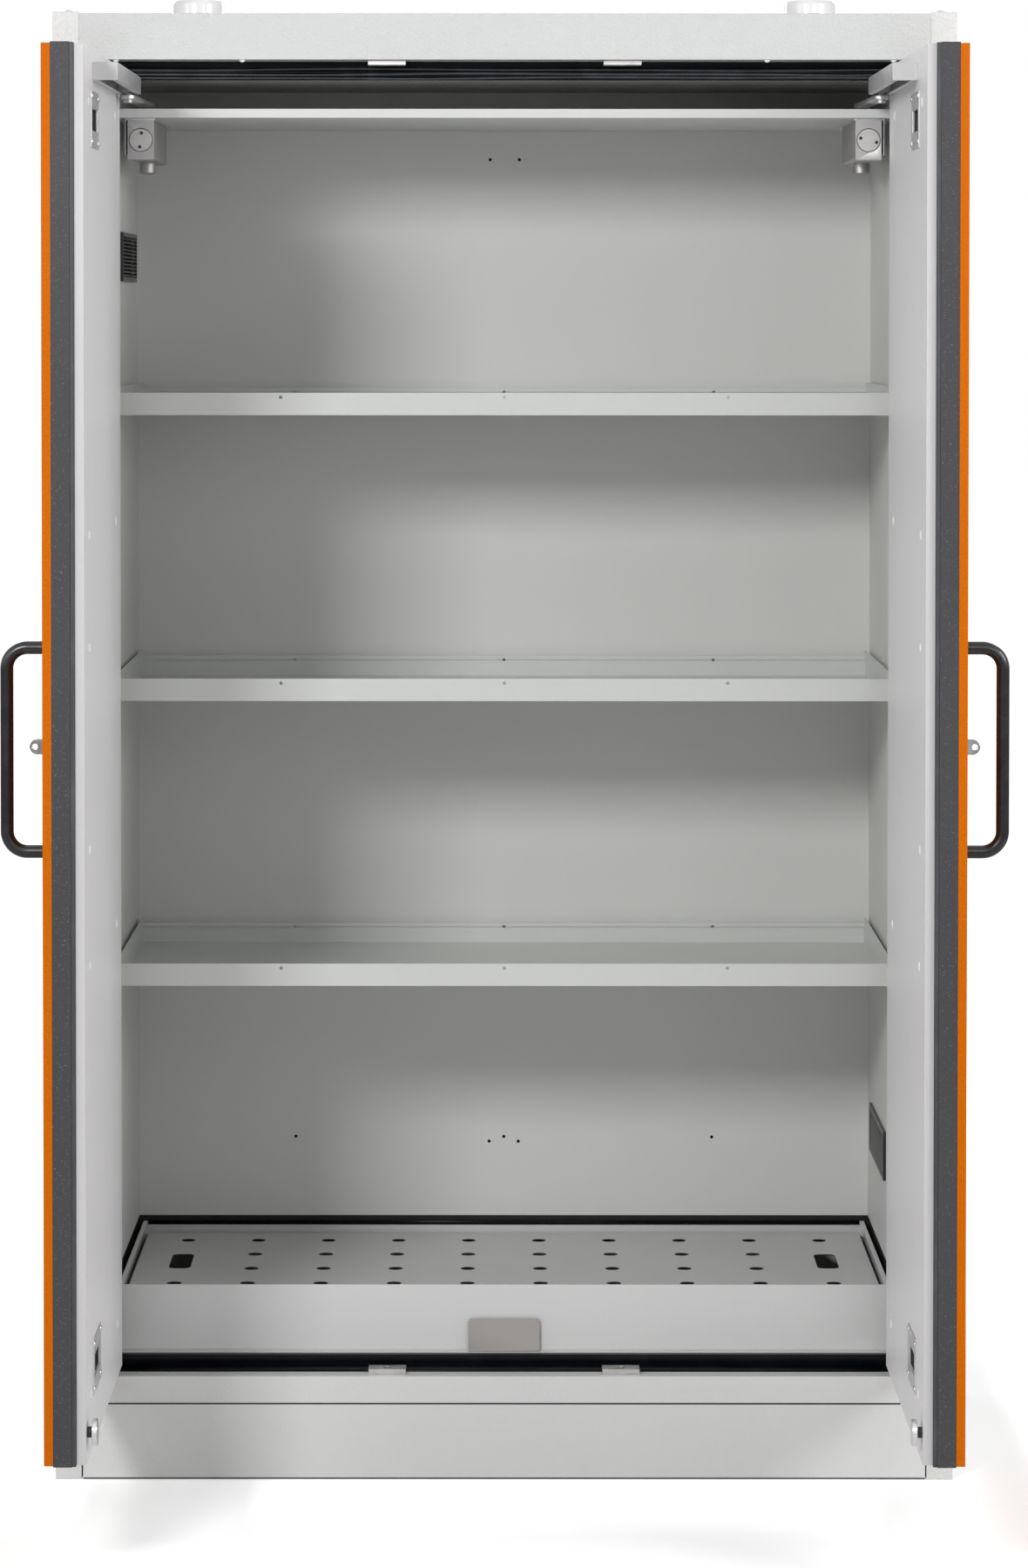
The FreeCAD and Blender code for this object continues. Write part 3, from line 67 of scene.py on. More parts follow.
# Camera
# It stands in front of the cabinet at chest height, a little left of the middle, and looks
# slightly down
camera_data = bpy.data.cameras.new("camera")
camera_data.sensor_width = 36.0
camera_data.lens = 109.285
camera_data.shift_x = 0.0098
camera_data.shift_y = -0.21
camera_data.clip_start = 0.1
camera_data.clip_end = 60.0
camera = bpy.data.objects.new("camera", camera_data)
camera.location = (-0.0079, -6.3007, 1.5519)
camera.rotation_euler = (math.radians(90.0 - 1.691), math.radians(-0.025), 0.0)
bpy.context.scene.collection.objects.link(camera)
bpy.context.scene.camera = camera


# Studio light
# One soft key lamp from the upper left front and weaker ones beside, behind and above the
# cabinet, in a white room that lights it little but is seen and mirrored at full strength
def soft_lamp(name, place, aim, size, watts):
    """A square area lamp at place whose face looks at aim."""
    data = bpy.data.lights.new(name, "AREA")
    data.shape = "RECTANGLE"
    data.size = data.size_y = size
    data.energy = watts
    lamp = bpy.data.objects.new(name, data)
    lamp.location = place
    heading = np.array(aim) - np.array(place)
    turn = math.atan2(-heading[0], heading[1])
    tilt = math.acos(-heading[2] / np.linalg.norm(heading))
    lamp.rotation_euler = (tilt, 0.0, turn)
    bpy.context.scene.collection.objects.link(lamp)


middle_of_cabinet = (0.0, 0.5, 1.0)
soft_lamp("key_lamp", (-1.65, -4.05, 2.72), middle_of_cabinet, 0.75, 94.0)
soft_lamp("door_lamp_right", (3.0, -2.0, 2.3), (-0.5, -0.3, 1.1), 1.2, 58.0)
soft_lamp("door_lamp_left", (-3.0, -2.0, 2.3), (0.5, -0.3, 1.1), 1.2, 15.0)
soft_lamp("front_lamp_right", (1.2, -2.6, 2.0), middle_of_cabinet, 1.0, 9.0)
soft_lamp("rear_lamp_left", (-2.2, 4.6, 2.9), (0.0, 0.6, 1.0), 1.5, 44.0)
soft_lamp("rear_lamp_right", (2.2, 4.6, 2.9), (0.0, 0.6, 1.0), 1.5, 44.0)
soft_lamp("top_lamp", (0.0, 0.9, 4.6), (0.0, 0.5, 1.9), 1.6, 18.0)


def add_node(tree, kind, inputs=(), **settings):
    """A shader node with its settings and its inputs, each a value or an output to link."""
    made = tree.nodes.new(kind)
    for key, value in settings.items():
        setattr(made, key, value)
    for key, value in dict(inputs).items():
        if isinstance(value, bpy.types.NodeSocket):
            tree.links.new(value, made.inputs[key])
        else:
            made.inputs[key].default_value = value
    return made


def add_math(tree, operation, first, second=0.0):
    """What a sum gives for two values or outputs."""
    return add_node(tree, "ShaderNodeMath", {0: first, 1: second}, operation=operation).outputs[0]


room_light = 0.2
world = bpy.data.worlds.new("white_room")
bpy.context.scene.world = world
world.use_nodes = True
tree = world.node_tree
room = tree.nodes["Background"]
room.inputs["Color"].default_value = (1.0, 1.0, 1.0, 1.0)
rays = add_node(tree, "ShaderNodeLightPath").outputs
seen = add_math(tree, "MAXIMUM", rays["Is Camera Ray"], rays["Is Glossy Ray"])
seen = add_math(tree, "MAXIMUM", seen, rays["Is Transmission Ray"])
strength = add_node(tree, "ShaderNodeMapRange", {"Value": seen, "To Min": room_light})
tree.links.new(strength.outputs["Result"], room.inputs["Strength"])
bpy.context.scene.view_settings.view_transform = "Standard"


# Floor
# Plain pale studio floor, lifted to white away from the cabinet and between the open doors,
# so that only the soft shadows of the doors stay
def add_ramp(tree, value, low, high, to_low, to_high, curve="SMOOTHSTEP"):
    """A value between low and high mapped, clamped, to between two others."""
    labels = ("Value", "From Min", "From Max", "To Min", "To Max")
    inputs = dict(zip(labels, (value, low, high, to_low, to_high)))
    made = add_node(tree, "ShaderNodeMapRange", inputs, interpolation_type=curve)
    return made.outputs["Result"]


reach, level = 40.0, -0.0005
door_shadows_x = (-0.44, 0.60)
floor_mesh = bpy.data.meshes.new("studio_floor")
floor_corners = [(-reach, -reach), (reach, -reach), (reach, reach), (-reach, reach)]
floor_mesh.from_pydata([(x, y, level) for x, y in floor_corners], [], [(0, 1, 2, 3)])
floor = bpy.data.objects.new("studio_floor", floor_mesh)
bpy.context.scene.collection.objects.link(floor)
floor_paint = bpy.data.materials.new("studio_floor")
floor_paint.use_nodes = True
tree = floor_paint.node_tree
shader = tree.nodes["Principled BSDF"]
shader.inputs["Base Color"].default_value = (0.86, 0.86, 0.86, 1.0)
shader.inputs["Roughness"].default_value = 0.9
shader.inputs["Specular IOR Level"].default_value = 0.0
place = add_node(tree, "ShaderNodeTexCoord").outputs["Object"]
away = add_node(tree, "ShaderNodeVectorMath", {0: place}, operation="LENGTH").outputs["Value"]
lift_away = add_ramp(tree, away, 0.9, 1.5, 0.36, 0.9)
axes = add_node(tree, "ShaderNodeSeparateXYZ", {0: place}).outputs
lift_near = add_ramp(tree, axes["Y"], -0.62, -0.1, 0.0, 0.55)
beside = []
for x in door_shadows_x:
    beside.append(add_math(tree, "ABSOLUTE", add_math(tree, "SUBTRACT", axes["X"], x)))
unshaded = add_ramp(tree, add_math(tree, "MINIMUM", *beside), 0.02, 0.15, 0.0, 1.0)
lift = add_math(tree, "MAXIMUM", lift_away, add_math(tree, "MULTIPLY", lift_near, unshaded))
camera_ray = add_node(tree, "ShaderNodeLightPath").outputs["Is Camera Ray"]
shader.inputs["Emission Color"].default_value = (1.0, 1.0, 1.0, 1.0)
tree.links.new(add_math(tree, "MULTIPLY", lift, camera_ray), shader.inputs["Emission Strength"])
floor_mesh.materials.append(floor_paint)


# Outer case
# Folded steel sheet, 1.5 mm, welded and screwed, with a light grey powder coat of fine
# orange-peel texture
class Group:
    """A shader node group under construction, with short calls for its nodes and links."""

    def __init__(self, name, values, colours):
        self.tree = bpy.data.node_groups.new(name, "ShaderNodeTree")
        face = self.tree.interface
        for kind, sockets in (("Color", colours), ("Float", values)):
            for label, default in sockets:
                made = face.new_socket(label, in_out="INPUT", socket_type=f"NodeSocket{kind}")
                made.default_value = default
        for label, kind in (("Colour", "Color"), ("Roughness", "Float"), ("Height", "Float")):
            face.new_socket(label, in_out="OUTPUT", socket_type=f"NodeSocket{kind}")
        self.given = self.tree.nodes.new("NodeGroupInput").outputs
        self.result = self.tree.nodes.new("NodeGroupOutput").inputs
        self.place = self.node("ShaderNodeTexCoord").outputs["Object"]

    def node(self, kind, inputs=(), **settings):
        """A node of this group."""
        return add_node(self.tree, kind, inputs, **settings)

    def math(self, operation, first, second=0.0):
        """What a sum gives for two values or outputs."""
        return add_math(self.tree, operation, first, second)

    def noise(self, place, scale, detail=2.0, roughness=0.5, distortion=0.0):
        """Noise of so many features per metre."""
        labels = ("Vector", "Scale", "Detail", "Roughness", "Distortion")
        inputs = dict(zip(labels, (place, scale, detail, roughness, distortion)))
        return self.node("ShaderNodeTexNoise", inputs).outputs["Fac"]

    def spread(self, value, low, high, to_low, to_high):
        """A value between low and high mapped, clamped, to between two others."""
        return add_ramp(self.tree, value, low, high, to_low, to_high, "LINEAR")

    def scaled(self, colour, factor):
        """A colour times a factor."""
        inputs = {0: colour, 3: factor}
        return self.node("ShaderNodeVectorMath", inputs, operation="SCALE").outputs[0]

    def blend(self, share, first, second):
        """Two colours mixed by a share."""
        inputs = {0: share, 6: first, 7: second}
        return self.node("ShaderNodeMix", inputs, data_type="RGBA", blend_type="MIX").outputs[2]

    def give(self, colour, roughness, height):
        """Link the group's three results and return its tree."""
        for label, socket in (("Colour", colour), ("Roughness", roughness), ("Height", height)):
            self.tree.links.new(socket, self.result[label])
        return self.tree


def powder_coat_group():
    """Colour drifts slowly, with wiped patches and fine specks; height is orange peel with a fine
    grain. Painted shade darkens the front edge before the depth Rim, and painted shade darkens the
    faces that don't lie flat."""
    g = Group(
        "powder_coat",
        [
            ("Drift", 0.012),
            ("Peel", 1.0),
            ("Sheen", 0.42),
            ("Smudge", 0.3),
            ("Dust", 0.0),
            ("Flecks", 0.0),
            ("Rim", -9.0),
            ("Rim Tone", 1.0),
            ("Side Tone", 1.0),
        ],
        [("Paint", (0.7, 0.7, 0.7, 1.0))],
    )
    fleck_grey, dust_brown = (0.42, 0.42, 0.43, 1.0), (0.62, 0.6, 0.57, 1.0)
    rim_width, wiped_tone = 0.002, 0.965
    drift = g.spread(g.noise(g.place, 2.3, 3.0, 0.55, 0.4), 0.3, 0.7, -1.0, 1.0)
    specks = g.spread(g.noise(g.place, 1400.0, 1.0), 0.3, 0.7, -0.018, 0.018)
    tone = g.math("ADD", g.math("ADD", g.math("MULTIPLY", drift, g.given["Drift"]), specks), 1.0)
    painted = g.scaled(g.given["Paint"], tone)
    wiped = g.spread(g.noise(g.place, 5.0, 5.0, 0.62, 1.6), 0.50, 0.72, 0.0, 1.0)
    wiped = g.math("MULTIPLY", wiped, g.given["Smudge"])
    coloured = g.blend(wiped, painted, g.scaled(painted, wiped_tone))
    fleck = g.spread(g.noise(g.place, 560.0, 1.0), 0.66, 0.74, 0.0, 1.0)
    coloured = g.blend(g.math("MULTIPLY", fleck, g.given["Flecks"]), coloured, fleck_grey)
    # Painted shade: the front edge before the depth Rim is darkened, for the shade on a door pan's
    # front-facing edge.
    depth = g.node("ShaderNodeSeparateXYZ", {0: g.place}).outputs["Y"]
    behind = g.math("ADD", g.given["Rim"], rim_width)
    rim = g.spread(depth, g.given["Rim"], behind, g.given["Rim Tone"], 1.0)
    # Painted shade: faces that don't lie flat are darkened, so that the walls of punched holes read
    # as the shade inside them.
    own_normal = g.node("ShaderNodeTexCoord").outputs["Normal"]
    flat = g.math("ABSOLUTE", g.node("ShaderNodeSeparateXYZ", {0: own_normal}).outputs["Z"])
    side = g.spread(flat, 0.3, 0.7, g.given["Side Tone"], 1.0)
    coloured = g.scaled(coloured, g.math("MULTIPLY", rim, side))
    world_normal = g.node("ShaderNodeNewGeometry").outputs["Normal"]
    upward = g.node("ShaderNodeSeparateXYZ", {0: world_normal}).outputs["Z"]
    lying = g.spread(upward, 0.7, 1.0, 0.0, 1.0)
    patches = g.spread(g.noise(g.place, 9.0, 5.0, 0.65), 0.4, 0.72, 0.0, 1.0)
    dusty = g.math("MULTIPLY", g.math("MULTIPLY", lying, patches), g.given["Dust"])
    duller = g.math("ADD", g.math("MULTIPLY", wiped, 0.14), g.math("MULTIPLY", dusty, 0.3))
    peel = g.math("MULTIPLY", g.noise(g.place, 270.0, 2.0, 0.45), 0.75)
    grain = g.math("MULTIPLY", g.noise(g.place, 1300.0, 2.0), 0.25)
    height = g.math("MULTIPLY", g.math("ADD", peel, grain), g.given["Peel"])
    rough = g.math("ADD", g.given["Sheen"], duller)
    return g.give(g.blend(dusty, coloured, dust_brown), rough, height)


powder_coat = powder_coat_group()


def finish_of(name, group, settings, bump, **sockets):
    """A material that takes its colour, roughness and height from a node group; bump is a strength
    and a depth in metres, and sockets go straight to the shader."""
    material = bpy.data.materials.new(name)
    material.use_nodes = True
    tree = material.node_tree
    shader = tree.nodes["Principled BSDF"]
    for key, value in sockets.items():
        shader.inputs[key.replace("_", " ")].default_value = value
    made = tree.nodes.new("ShaderNodeGroup")
    made.node_tree = group
    for key, value in settings.items():
        made.inputs[key].default_value = value
    tree.links.new(made.outputs["Colour"], shader.inputs["Base Color"])
    tree.links.new(made.outputs["Roughness"], shader.inputs["Roughness"])
    relief = tree.nodes.new("ShaderNodeBump")
    relief.inputs["Strength"].default_value = bump[0]
    relief.inputs["Distance"].default_value = bump[1]
    tree.links.new(made.outputs["Height"], relief.inputs["Height"])
    tree.links.new(relief.outputs["Normal"], shader.inputs["Normal"])
    return material


def cover(piece, material):
    """Give a piece one material."""
    piece.data.materials.clear()
    piece.data.materials.append(material)


def corners_by_solid(form):
    """The vertices of each closed solid, whose triangles follow one another until every edge has
    met its reverse."""
    solids, open_edges, corners = [], set(), set()
    for face in form.faces:
        ends = [tuple(round(value * 1e6) for value in corner.co) for corner in face.verts]
        corners.update(face.verts)
        for edge in zip(ends, ends[1:] + ends[:1]):
            if edge[::-1] in open_edges:
                open_edges.remove(edge[::-1])
            else:
                open_edges.add(edge)
        if not open_edges:
            solids.append(list(corners))
            corners = set()
    if corners:
        solids.append(list(corners))
    return solids


def eased(node, material, radius, segments=2):
    """A copy of a CAD node in the same place with its sharp edges rounded to a radius in metres."""
    same_place, same_plane = 2e-6, math.radians(0.8)
    crease, sharp = math.radians(30.0), math.radians(32.0)
    source = nodes[node]
    form = bmesh.new()
    form.from_mesh(source.data)
    for corners in corners_by_solid(form):
        bmesh.ops.remove_doubles(form, verts=corners, dist=same_place)
    bmesh.ops.dissolve_limit(form, angle_limit=same_plane, verts=form.verts, edges=form.edges)
    mesh = bpy.data.meshes.new(f"{node}_finished")
    form.to_mesh(mesh)
    form.free()
    piece = bpy.data.objects.new(f"{node}_finished", mesh)
    bpy.context.scene.collection.objects.link(piece)
    mesh.shade_smooth()
    mesh.set_sharp_from_angle(angle=crease)
    bevel = piece.modifiers.new("eased_edges", "BEVEL")
    bevel.width = radius
    bevel.segments = segments
    bevel.limit_method = "ANGLE"
    bevel.angle_limit = sharp
    bevel.harden_normals = True
    bevel.use_clamp_overlap = True
    cover(piece, material)
    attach(piece, source["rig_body"])
    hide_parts(node)


case_coat = finish_of(
    "case_coat",
    powder_coat,
    {"Paint": (0.73, 0.738, 0.73, 1.0), "Peel": 1.0, "Sheen": 0.24, "Dust": 0.12},
    (1.0, 0.0020),
    Specular_IOR_Level=0.6,
)
# The top panel has the case's coat in a darker paint: painted shade that holds down its brightly
# lit front.
top_coat_painted_shade = finish_of(
    "top_coat_painted_shade",
    powder_coat,
    {"Paint": (0.59, 0.602, 0.595, 1.0), "Peel": 1.0, "Sheen": 0.22, "Dust": 0.12},
    (1.0, 0.0017),
    Specular_IOR_Level=0.6,
)
sheet_edge, plate_edge, small_edge = 0.0006, 0.0005, 0.0004
for node in ("side_panel_left", "side_panel_right", "rear_panel"):
    eased(node, case_coat, sheet_edge)
eased("top_panel", top_coat_painted_shade, sheet_edge)
front_coat = finish_of(
    "front_coat",
    powder_coat,
    {"Paint": (0.715, 0.722, 0.712, 1.0), "Peel": 1.0, "Sheen": 0.36, "Dust": 0.08},
    (0.8, 0.0006),
)
for node in ("sill_rail", "plinth_cover"):
    eased(node, front_coat, sheet_edge)


# Case screws
# Dome-head screws: one in the top of each post and four up through the front edge of the top
def closed_piece(name, points, faces, material, body, crease):
    """A piece from points and faces on a body, normals outward, smooth where it bends by less
    than crease."""
    same_place, no_length = 1e-6, 1e-7
    mesh = bpy.data.meshes.new(name)
    mesh.from_pydata(np.reshape(points, (-1, 3)).tolist(), [], faces)
    form = bmesh.new()
    form.from_mesh(mesh)
    bmesh.ops.remove_doubles(form, verts=form.verts, dist=same_place)
    bmesh.ops.dissolve_degenerate(form, dist=no_length, edges=form.edges)
    bmesh.ops.recalc_face_normals(form, faces=form.faces)
    form.to_mesh(mesh)
    form.free()
    mesh.shade_smooth()
    mesh.set_sharp_from_angle(angle=crease)
    piece = bpy.data.objects.new(name, mesh)
    bpy.context.scene.collection.objects.link(piece)
    cover(piece, material)
    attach(piece, body)
    return piece


def tube_faces(rings, sides):
    """The quads between rings of points that follow one another, each closed round its sides."""
    row = np.arange(rings - 1)[:, None] * sides + np.arange(sides)
    after = np.roll(row, -1, axis=1)
    return np.stack([row, after, after + sides, row + sides], axis=-1).reshape(-1, 4)


def turned(name, profile, places, material, body, sides=20):
    """Like turned parts in one mesh: each profile point (radius, height) goes round its part's
    axis as centre + radius (cos a u + sin a v) + height w, where u and v are square to the
    axis w."""
    radius, height = np.array(profile).T[:, :, None, None]
    angle = np.linspace(0.0, 2.0 * math.pi, sides, endpoint=False)[None, :, None]
    grids = []
    for centre, axis in places:
        w = np.array(axis) / np.linalg.norm(axis)
        u = np.cross((0.0, 0.0, 1.0) if abs(w[2]) < 0.9 else (1.0, 0.0, 0.0), w)
        u = u / np.linalg.norm(u)
        v = np.cross(w, u)
        across = np.cos(angle) * u + np.sin(angle) * v
        grids.append(np.array(centre) + radius * across + height * w)
    count = len(profile) * sides
    quads = [tube_faces(len(profile), sides) + part * count for part in range(len(places))]
    faces = np.concatenate(quads).tolist()
    return closed_piece(name, np.array(grids), faces, material, body, math.radians(38.0))


def dome(radius, rise, socket=0.0):
    """A screw or cap head: height = rise cos t at radius sin t, a socket sunk in the middle."""
    t = np.linspace(0.0, math.pi / 2, 6)
    rows = [(radius * math.sin(a), rise * math.cos(a)) for a in t]
    if socket:
        rows = [row for row in rows if row[0] >= socket * 0.5]
        rows = [(0.0, rise * 0.35), (socket * 0.9, rise * 0.35)] + rows
        rows[2] = (socket, rise * 0.97)
    return rows + [(0.0, 0.0)]


screw_coat = finish_of(
    "screw_coat",
    powder_coat,
    {"Paint": (0.66, 0.67, 0.66, 1.0), "Drift": 0.02, "Peel": 0.2, "Sheen": 0.25, "Smudge": 0.4},
    (0.2, 0.0002),
)
post_x, post_top = 0.578, 1.951
post_tops = [((x, y, post_top), (0, 0, 1)) for x in (-post_x, post_x) for y in (0.022, 0.3)]
turned("post_screws", dome(0.006, 0.0036, 0.0022), post_tops, screw_coat, "cabinet")
ledge_y, ledge_under = 0.0055, 1.8878
edge_screws = [((x, ledge_y, ledge_under), (0, 0, -1)) for x in (-0.514, -0.347, 0.347, 0.514)]
# The edge screws are painted near white, lighter than the post screws: a painted highlight for
# their glint under the ledge.
edge_screw_highlight = finish_of(
    "edge_screw_highlight",
    powder_coat,
    {"Paint": (0.86, 0.86, 0.86, 1.0), "Drift": 0.02, "Peel": 0.2, "Sheen": 0.2, "Smudge": 0.1},
    (0.1, 0.0002),
)
turned("edge_screws", dome(0.0042, 0.0034), edge_screws, edge_screw_highlight, "cabinet")


# Base frame
# Four folded channels under the case, coated dark grey and mostly out of sight
base_coat = finish_of(
    "base_coat",
    powder_coat,
    {"Paint": (0.10, 0.105, 0.11, 1.0), "Drift": 0.04, "Peel": 1.0, "Sheen": 0.55, "Dust": 0.4},
    (0.5, 0.0004),
)
eased("base_frame", base_coat, sheet_edge)


# Insulation boards
# Mineral boards in the walls, black where they show round the sump
board_face = finish_of(
    "board_face",
    powder_coat,
    {
        "Paint": (0.012, 0.012, 0.013, 1.0),
        "Drift": 0.3,
        "Peel": 3.0,
        "Sheen": 0.75,
        "Smudge": 0.0,
        "Dust": 0.1,
    },
    (0.6, 0.0008),
)
cover(nodes["insulation_boards"], board_face)


# Lining
# Coated boards of the storage space, a shade warmer and duller than the case
lining_coat = finish_of(
    "lining_coat",
    powder_coat,
    {"Paint": (0.72, 0.725, 0.705, 1.0), "Peel": 0.5, "Sheen": 0.48, "Smudge": 0.2, "Dust": 0.08},
    (0.35, 0.0003),
)
for node in ("side_liners", "rear_liner", "floor_liner"):
    cover(nodes[node], lining_coat)
# The ceiling liner is the same board in a lighter paint: painted light for the dim strip above the
# cover plate.
ceiling_coat_painted_light = finish_of(
    "ceiling_coat_painted_light",
    powder_coat,
    {"Paint": (0.86, 0.85, 0.83, 1.0), "Peel": 0.5, "Sheen": 0.48, "Smudge": 0.2},
    (0.35, 0.0003),
)
cover(nodes["ceiling_liner"], ceiling_coat_painted_light)
wall_low, wall_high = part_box("rear_liner")
wall_front, bead_start = 0.53, 0.245
tall = wall_high[2] - bead_start
bead_y = wall_front - 0.0004
wall_edges = [((x, bead_y, bead_start), (0, 0, 1)) for x in (wall_low[0], wall_high[0])]
# Thin dark beads run up both rear corners, where the side and rear liners meet.
corner_bead_dark = finish_of(
    "corner_bead_dark",
    powder_coat,
    {"Paint": (0.05, 0.05, 0.05, 1.0), "Drift": 0.1, "Peel": 0.5, "Sheen": 0.5},
    (0.3, 0.0002),
)
bead = [(0.0, 0.0), (0.0007, 0.0), (0.0007, tall), (0.0, tall)]
turned("corner_dark_beads", bead, wall_edges, corner_bead_dark, "cabinet", 8)
rivet_dark = finish_of(
    "rivet_dark",
    powder_coat,
    {"Paint": (0.006, 0.006, 0.006, 1.0), "Drift": 0.1, "Peel": 0.5, "Sheen": 0.6},
    (0.3, 0.0002),
    Specular_IOR_Level=0.1,
)
rivets = ((-0.0202, 1.7732), (0.0217, 1.7732), (-0.2996, 0.3673), (0.0, 0.3671), (0.2996, 0.3663))
rivets += ((-0.0211, 0.3602), (0.0209, 0.36))
heads = [((x, wall_front, z), (0, -1, 0)) for x, z in rivets]
turned("wall_rivets", dome(0.0024, 0.0008), heads, rivet_dark, "cabinet", 12)


# Seals
# Black extruded rubber round the opening and an expanding strip round each door
def rubber_group():
    """Near black, with slow grey bloom and a slight wave along the strip."""
    g = Group(
        "seal_rubber",
        [("Bloom", 0.2), ("Gloss", 0.3), ("Wave", 0.5)],
        [("Tint", (0.02, 0.02, 0.022, 1.0))],
    )
    bloom_grey = (0.16, 0.17, 0.19, 1.0)
    bloom = g.spread(g.noise(g.place, 14.0, 4.0, 0.6, 0.8), 0.45, 0.75, 0.0, 1.0)
    bloom = g.math("MULTIPLY", bloom, g.given["Bloom"])
    rough = g.math("ADD", g.given["Gloss"], g.math("MULTIPLY", bloom, 0.35))
    wave = g.math("MULTIPLY", g.noise(g.place, 11.0, 2.0, 0.4), g.given["Wave"])
    grain = g.math("MULTIPLY", g.noise(g.place, 900.0), 0.02)
    return g.give(g.blend(bloom, g.given["Tint"], bloom_grey), rough, g.math("ADD", wave, grain))


seal_rubber = rubber_group()
frame_seal = finish_of(
    "frame_seal",
    seal_rubber,
    {"Tint": (0.004, 0.005, 0.007, 1.0), "Bloom": 0.03, "Gloss": 0.22, "Wave": 0.5},
    (0.3, 0.001),
    Specular_IOR_Level=0.1,
)
# The ribs' rubber is a lighter black than the seal's: a painted highlight for the light lines along
# their crests.
rib_rubber_highlight = finish_of(
    "rib_rubber_highlight",
    seal_rubber,
    {"Tint": (0.030, 0.031, 0.035, 1.0), "Bloom": 0.2, "Gloss": 0.2, "Wave": 0.0},
    (0.1, 0.0002),
)
eased("frame_seals", frame_seal, sheet_edge)


def end_faces(rings, sides):
    """The two faces that close a tube of rings at its ends."""
    last = (rings - 1) * sides
    return [list(range(sides)), list(range(last + sides - 1, last - 1, -1))]


def swept(name, profile, length, material, steps=3, wave=None):
    """A strip along X: at each x the profile's points (y, z) shift by wave(x), a pair (dy, dz)."""
    x = np.linspace(-length / 2, length / 2, steps)
    grid = np.empty((steps, len(profile), 3))
    grid[:, :, 0] = x[:, None]
    grid[:, :, 1:] = profile
    if wave:
        grid[:, :, 1:] += wave(x)[:, None]
    faces = tube_faces(steps, len(profile)).tolist() + end_faces(steps, len(profile))
    closed_piece(name, grid, faces, material, "cabinet", math.pi)


def half_round(face, middle, reach, tall, points=9):
    """A rib's section: y = face - reach cos a and z = middle + tall sin a, with a from -90 to 90
    degrees."""
    a = np.linspace(-math.pi / 2, math.pi / 2, points)
    return np.stack([face - reach * np.cos(a), middle + tall * np.sin(a)], axis=-1)


def ripple(phase):
    """The loose seal's slow waves: dz = 0.9 mm sin(7 x + phase) + 0.5 mm sin(17 x + 2 phase) and
    dy = -0.4 dz, less at the ends."""

    def shift(x):
        lift = 0.0009 * np.sin(7.0 * x + phase) + 0.0005 * np.sin(17.0 * x + 2.0 * phase)
        lift = lift * np.clip((0.56 - np.abs(x)) / 0.1, 0.0, 1.0)
        return np.stack([-0.4 * lift, lift], axis=-1)

    return shift


seal_front, seal_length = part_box("frame_seals")[0][1], 1.118
ribs = ((1.8665, 0.0012, 0.0015), (1.8712, 0.0013, 0.0016), (1.8772, 0.0012, 0.0014))
for number, (middle, reach, tall) in enumerate(ribs):
    rib = half_round(seal_front + 0.0006, middle, reach, tall)
    swept(f"seal_rib_{number}", rib, seal_length, rib_rubber_highlight, 160, ripple(1.3 * number))
roll = half_round(seal_front + 0.0004, 0.1502, 0.0016, 0.0058, 17)
swept("sill_seal_roll", roll, seal_length, frame_seal, 90)
lip = [(0.0527, 0.1382), (0.0527, 0.1432), (0.0460, 0.1434), (0.0340, 0.1418), (0.0275, 0.1402)]
lip += [(0.0262, 0.1389), (0.0264, 0.1382)]
swept("sill_seal_lip", lip, seal_length, frame_seal)
# A black strip along the tray's rear rim is painted shade, standing in for the dark gap between the
# tray and the rear wall.
low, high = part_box("sump_tray")
section = [(-4.2, -4.6), (-3.0, -5.0), (-1.8, -4.2), (1.2, -4.2)]
section += [(1.2, 0.8), (0.0, 1.4), (-3.0, 1.4), (-4.2, 0.8)]
shadow_strip = [(high[1] + dy / 1000.0, high[2] + dz / 1000.0) for dy, dz in section]
swept("tray_rear_shadow_strip", shadow_strip, high[0] - low[0] - 0.014, frame_seal)
door_strip = finish_of(
    "door_strip",
    seal_rubber,
    {"Tint": (0.035, 0.036, 0.04, 1.0), "Bloom": 0.2, "Gloss": 0.5, "Wave": 0.4},
    (0.4, 0.001),
)
for side in ("left", "right"):
    eased(f"door_seal_{side}", door_strip, 0.0008)


# Strike plates and magnet keeper
# Zinc-plated stamped plates for the bolts; the keeper is a dull bent angle that both doors'
# magnets meet
def metal_group():
    """Grey metal with fine lines drawn along one axis, cloudy plating and small scuffs."""
    g = Group(
        "plated_metal",
        [
            ("Lines", 0.5),
            ("Gloss", 0.3),
            ("Clouds", 0.1),
            ("Stretch X", 1.0),
            ("Stretch Y", 1.0),
            ("Stretch Z", 1.0),
        ],
        [("Metal", (0.6, 0.6, 0.6, 1.0))],
    )
    axes = {axis: g.given[f"Stretch {axis}"] for axis in "XYZ"}
    stretch = g.node("ShaderNodeCombineXYZ", axes).outputs[0]
    inputs = {0: g.place, 1: stretch}
    drawn = g.node("ShaderNodeVectorMath", inputs, operation="MULTIPLY").outputs[0]
    lines = g.noise(drawn, 900.0, 3.0, 0.6)
    clouds = g.spread(g.noise(g.place, 45.0, 3.0, 0.6), 0.3, 0.7, -1.0, 1.0)
    clouds = g.math("MULTIPLY", clouds, g.given["Clouds"])
    streak = g.math("MULTIPLY", g.spread(lines, 0.3, 0.7, -0.12, 0.12), g.given["Lines"])
    colour = g.scaled(g.given["Metal"], g.math("ADD", g.math("ADD", streak, clouds), 1.0))
    rough = g.math("ADD", g.given["Gloss"], g.math("MULTIPLY", streak, 0.8))
    rough = g.math("ADD", rough, g.math("MULTIPLY", clouds, 0.5))
    return g.give(colour, rough, g.math("MULTIPLY", lines, g.given["Lines"]))


plated_metal = metal_group()


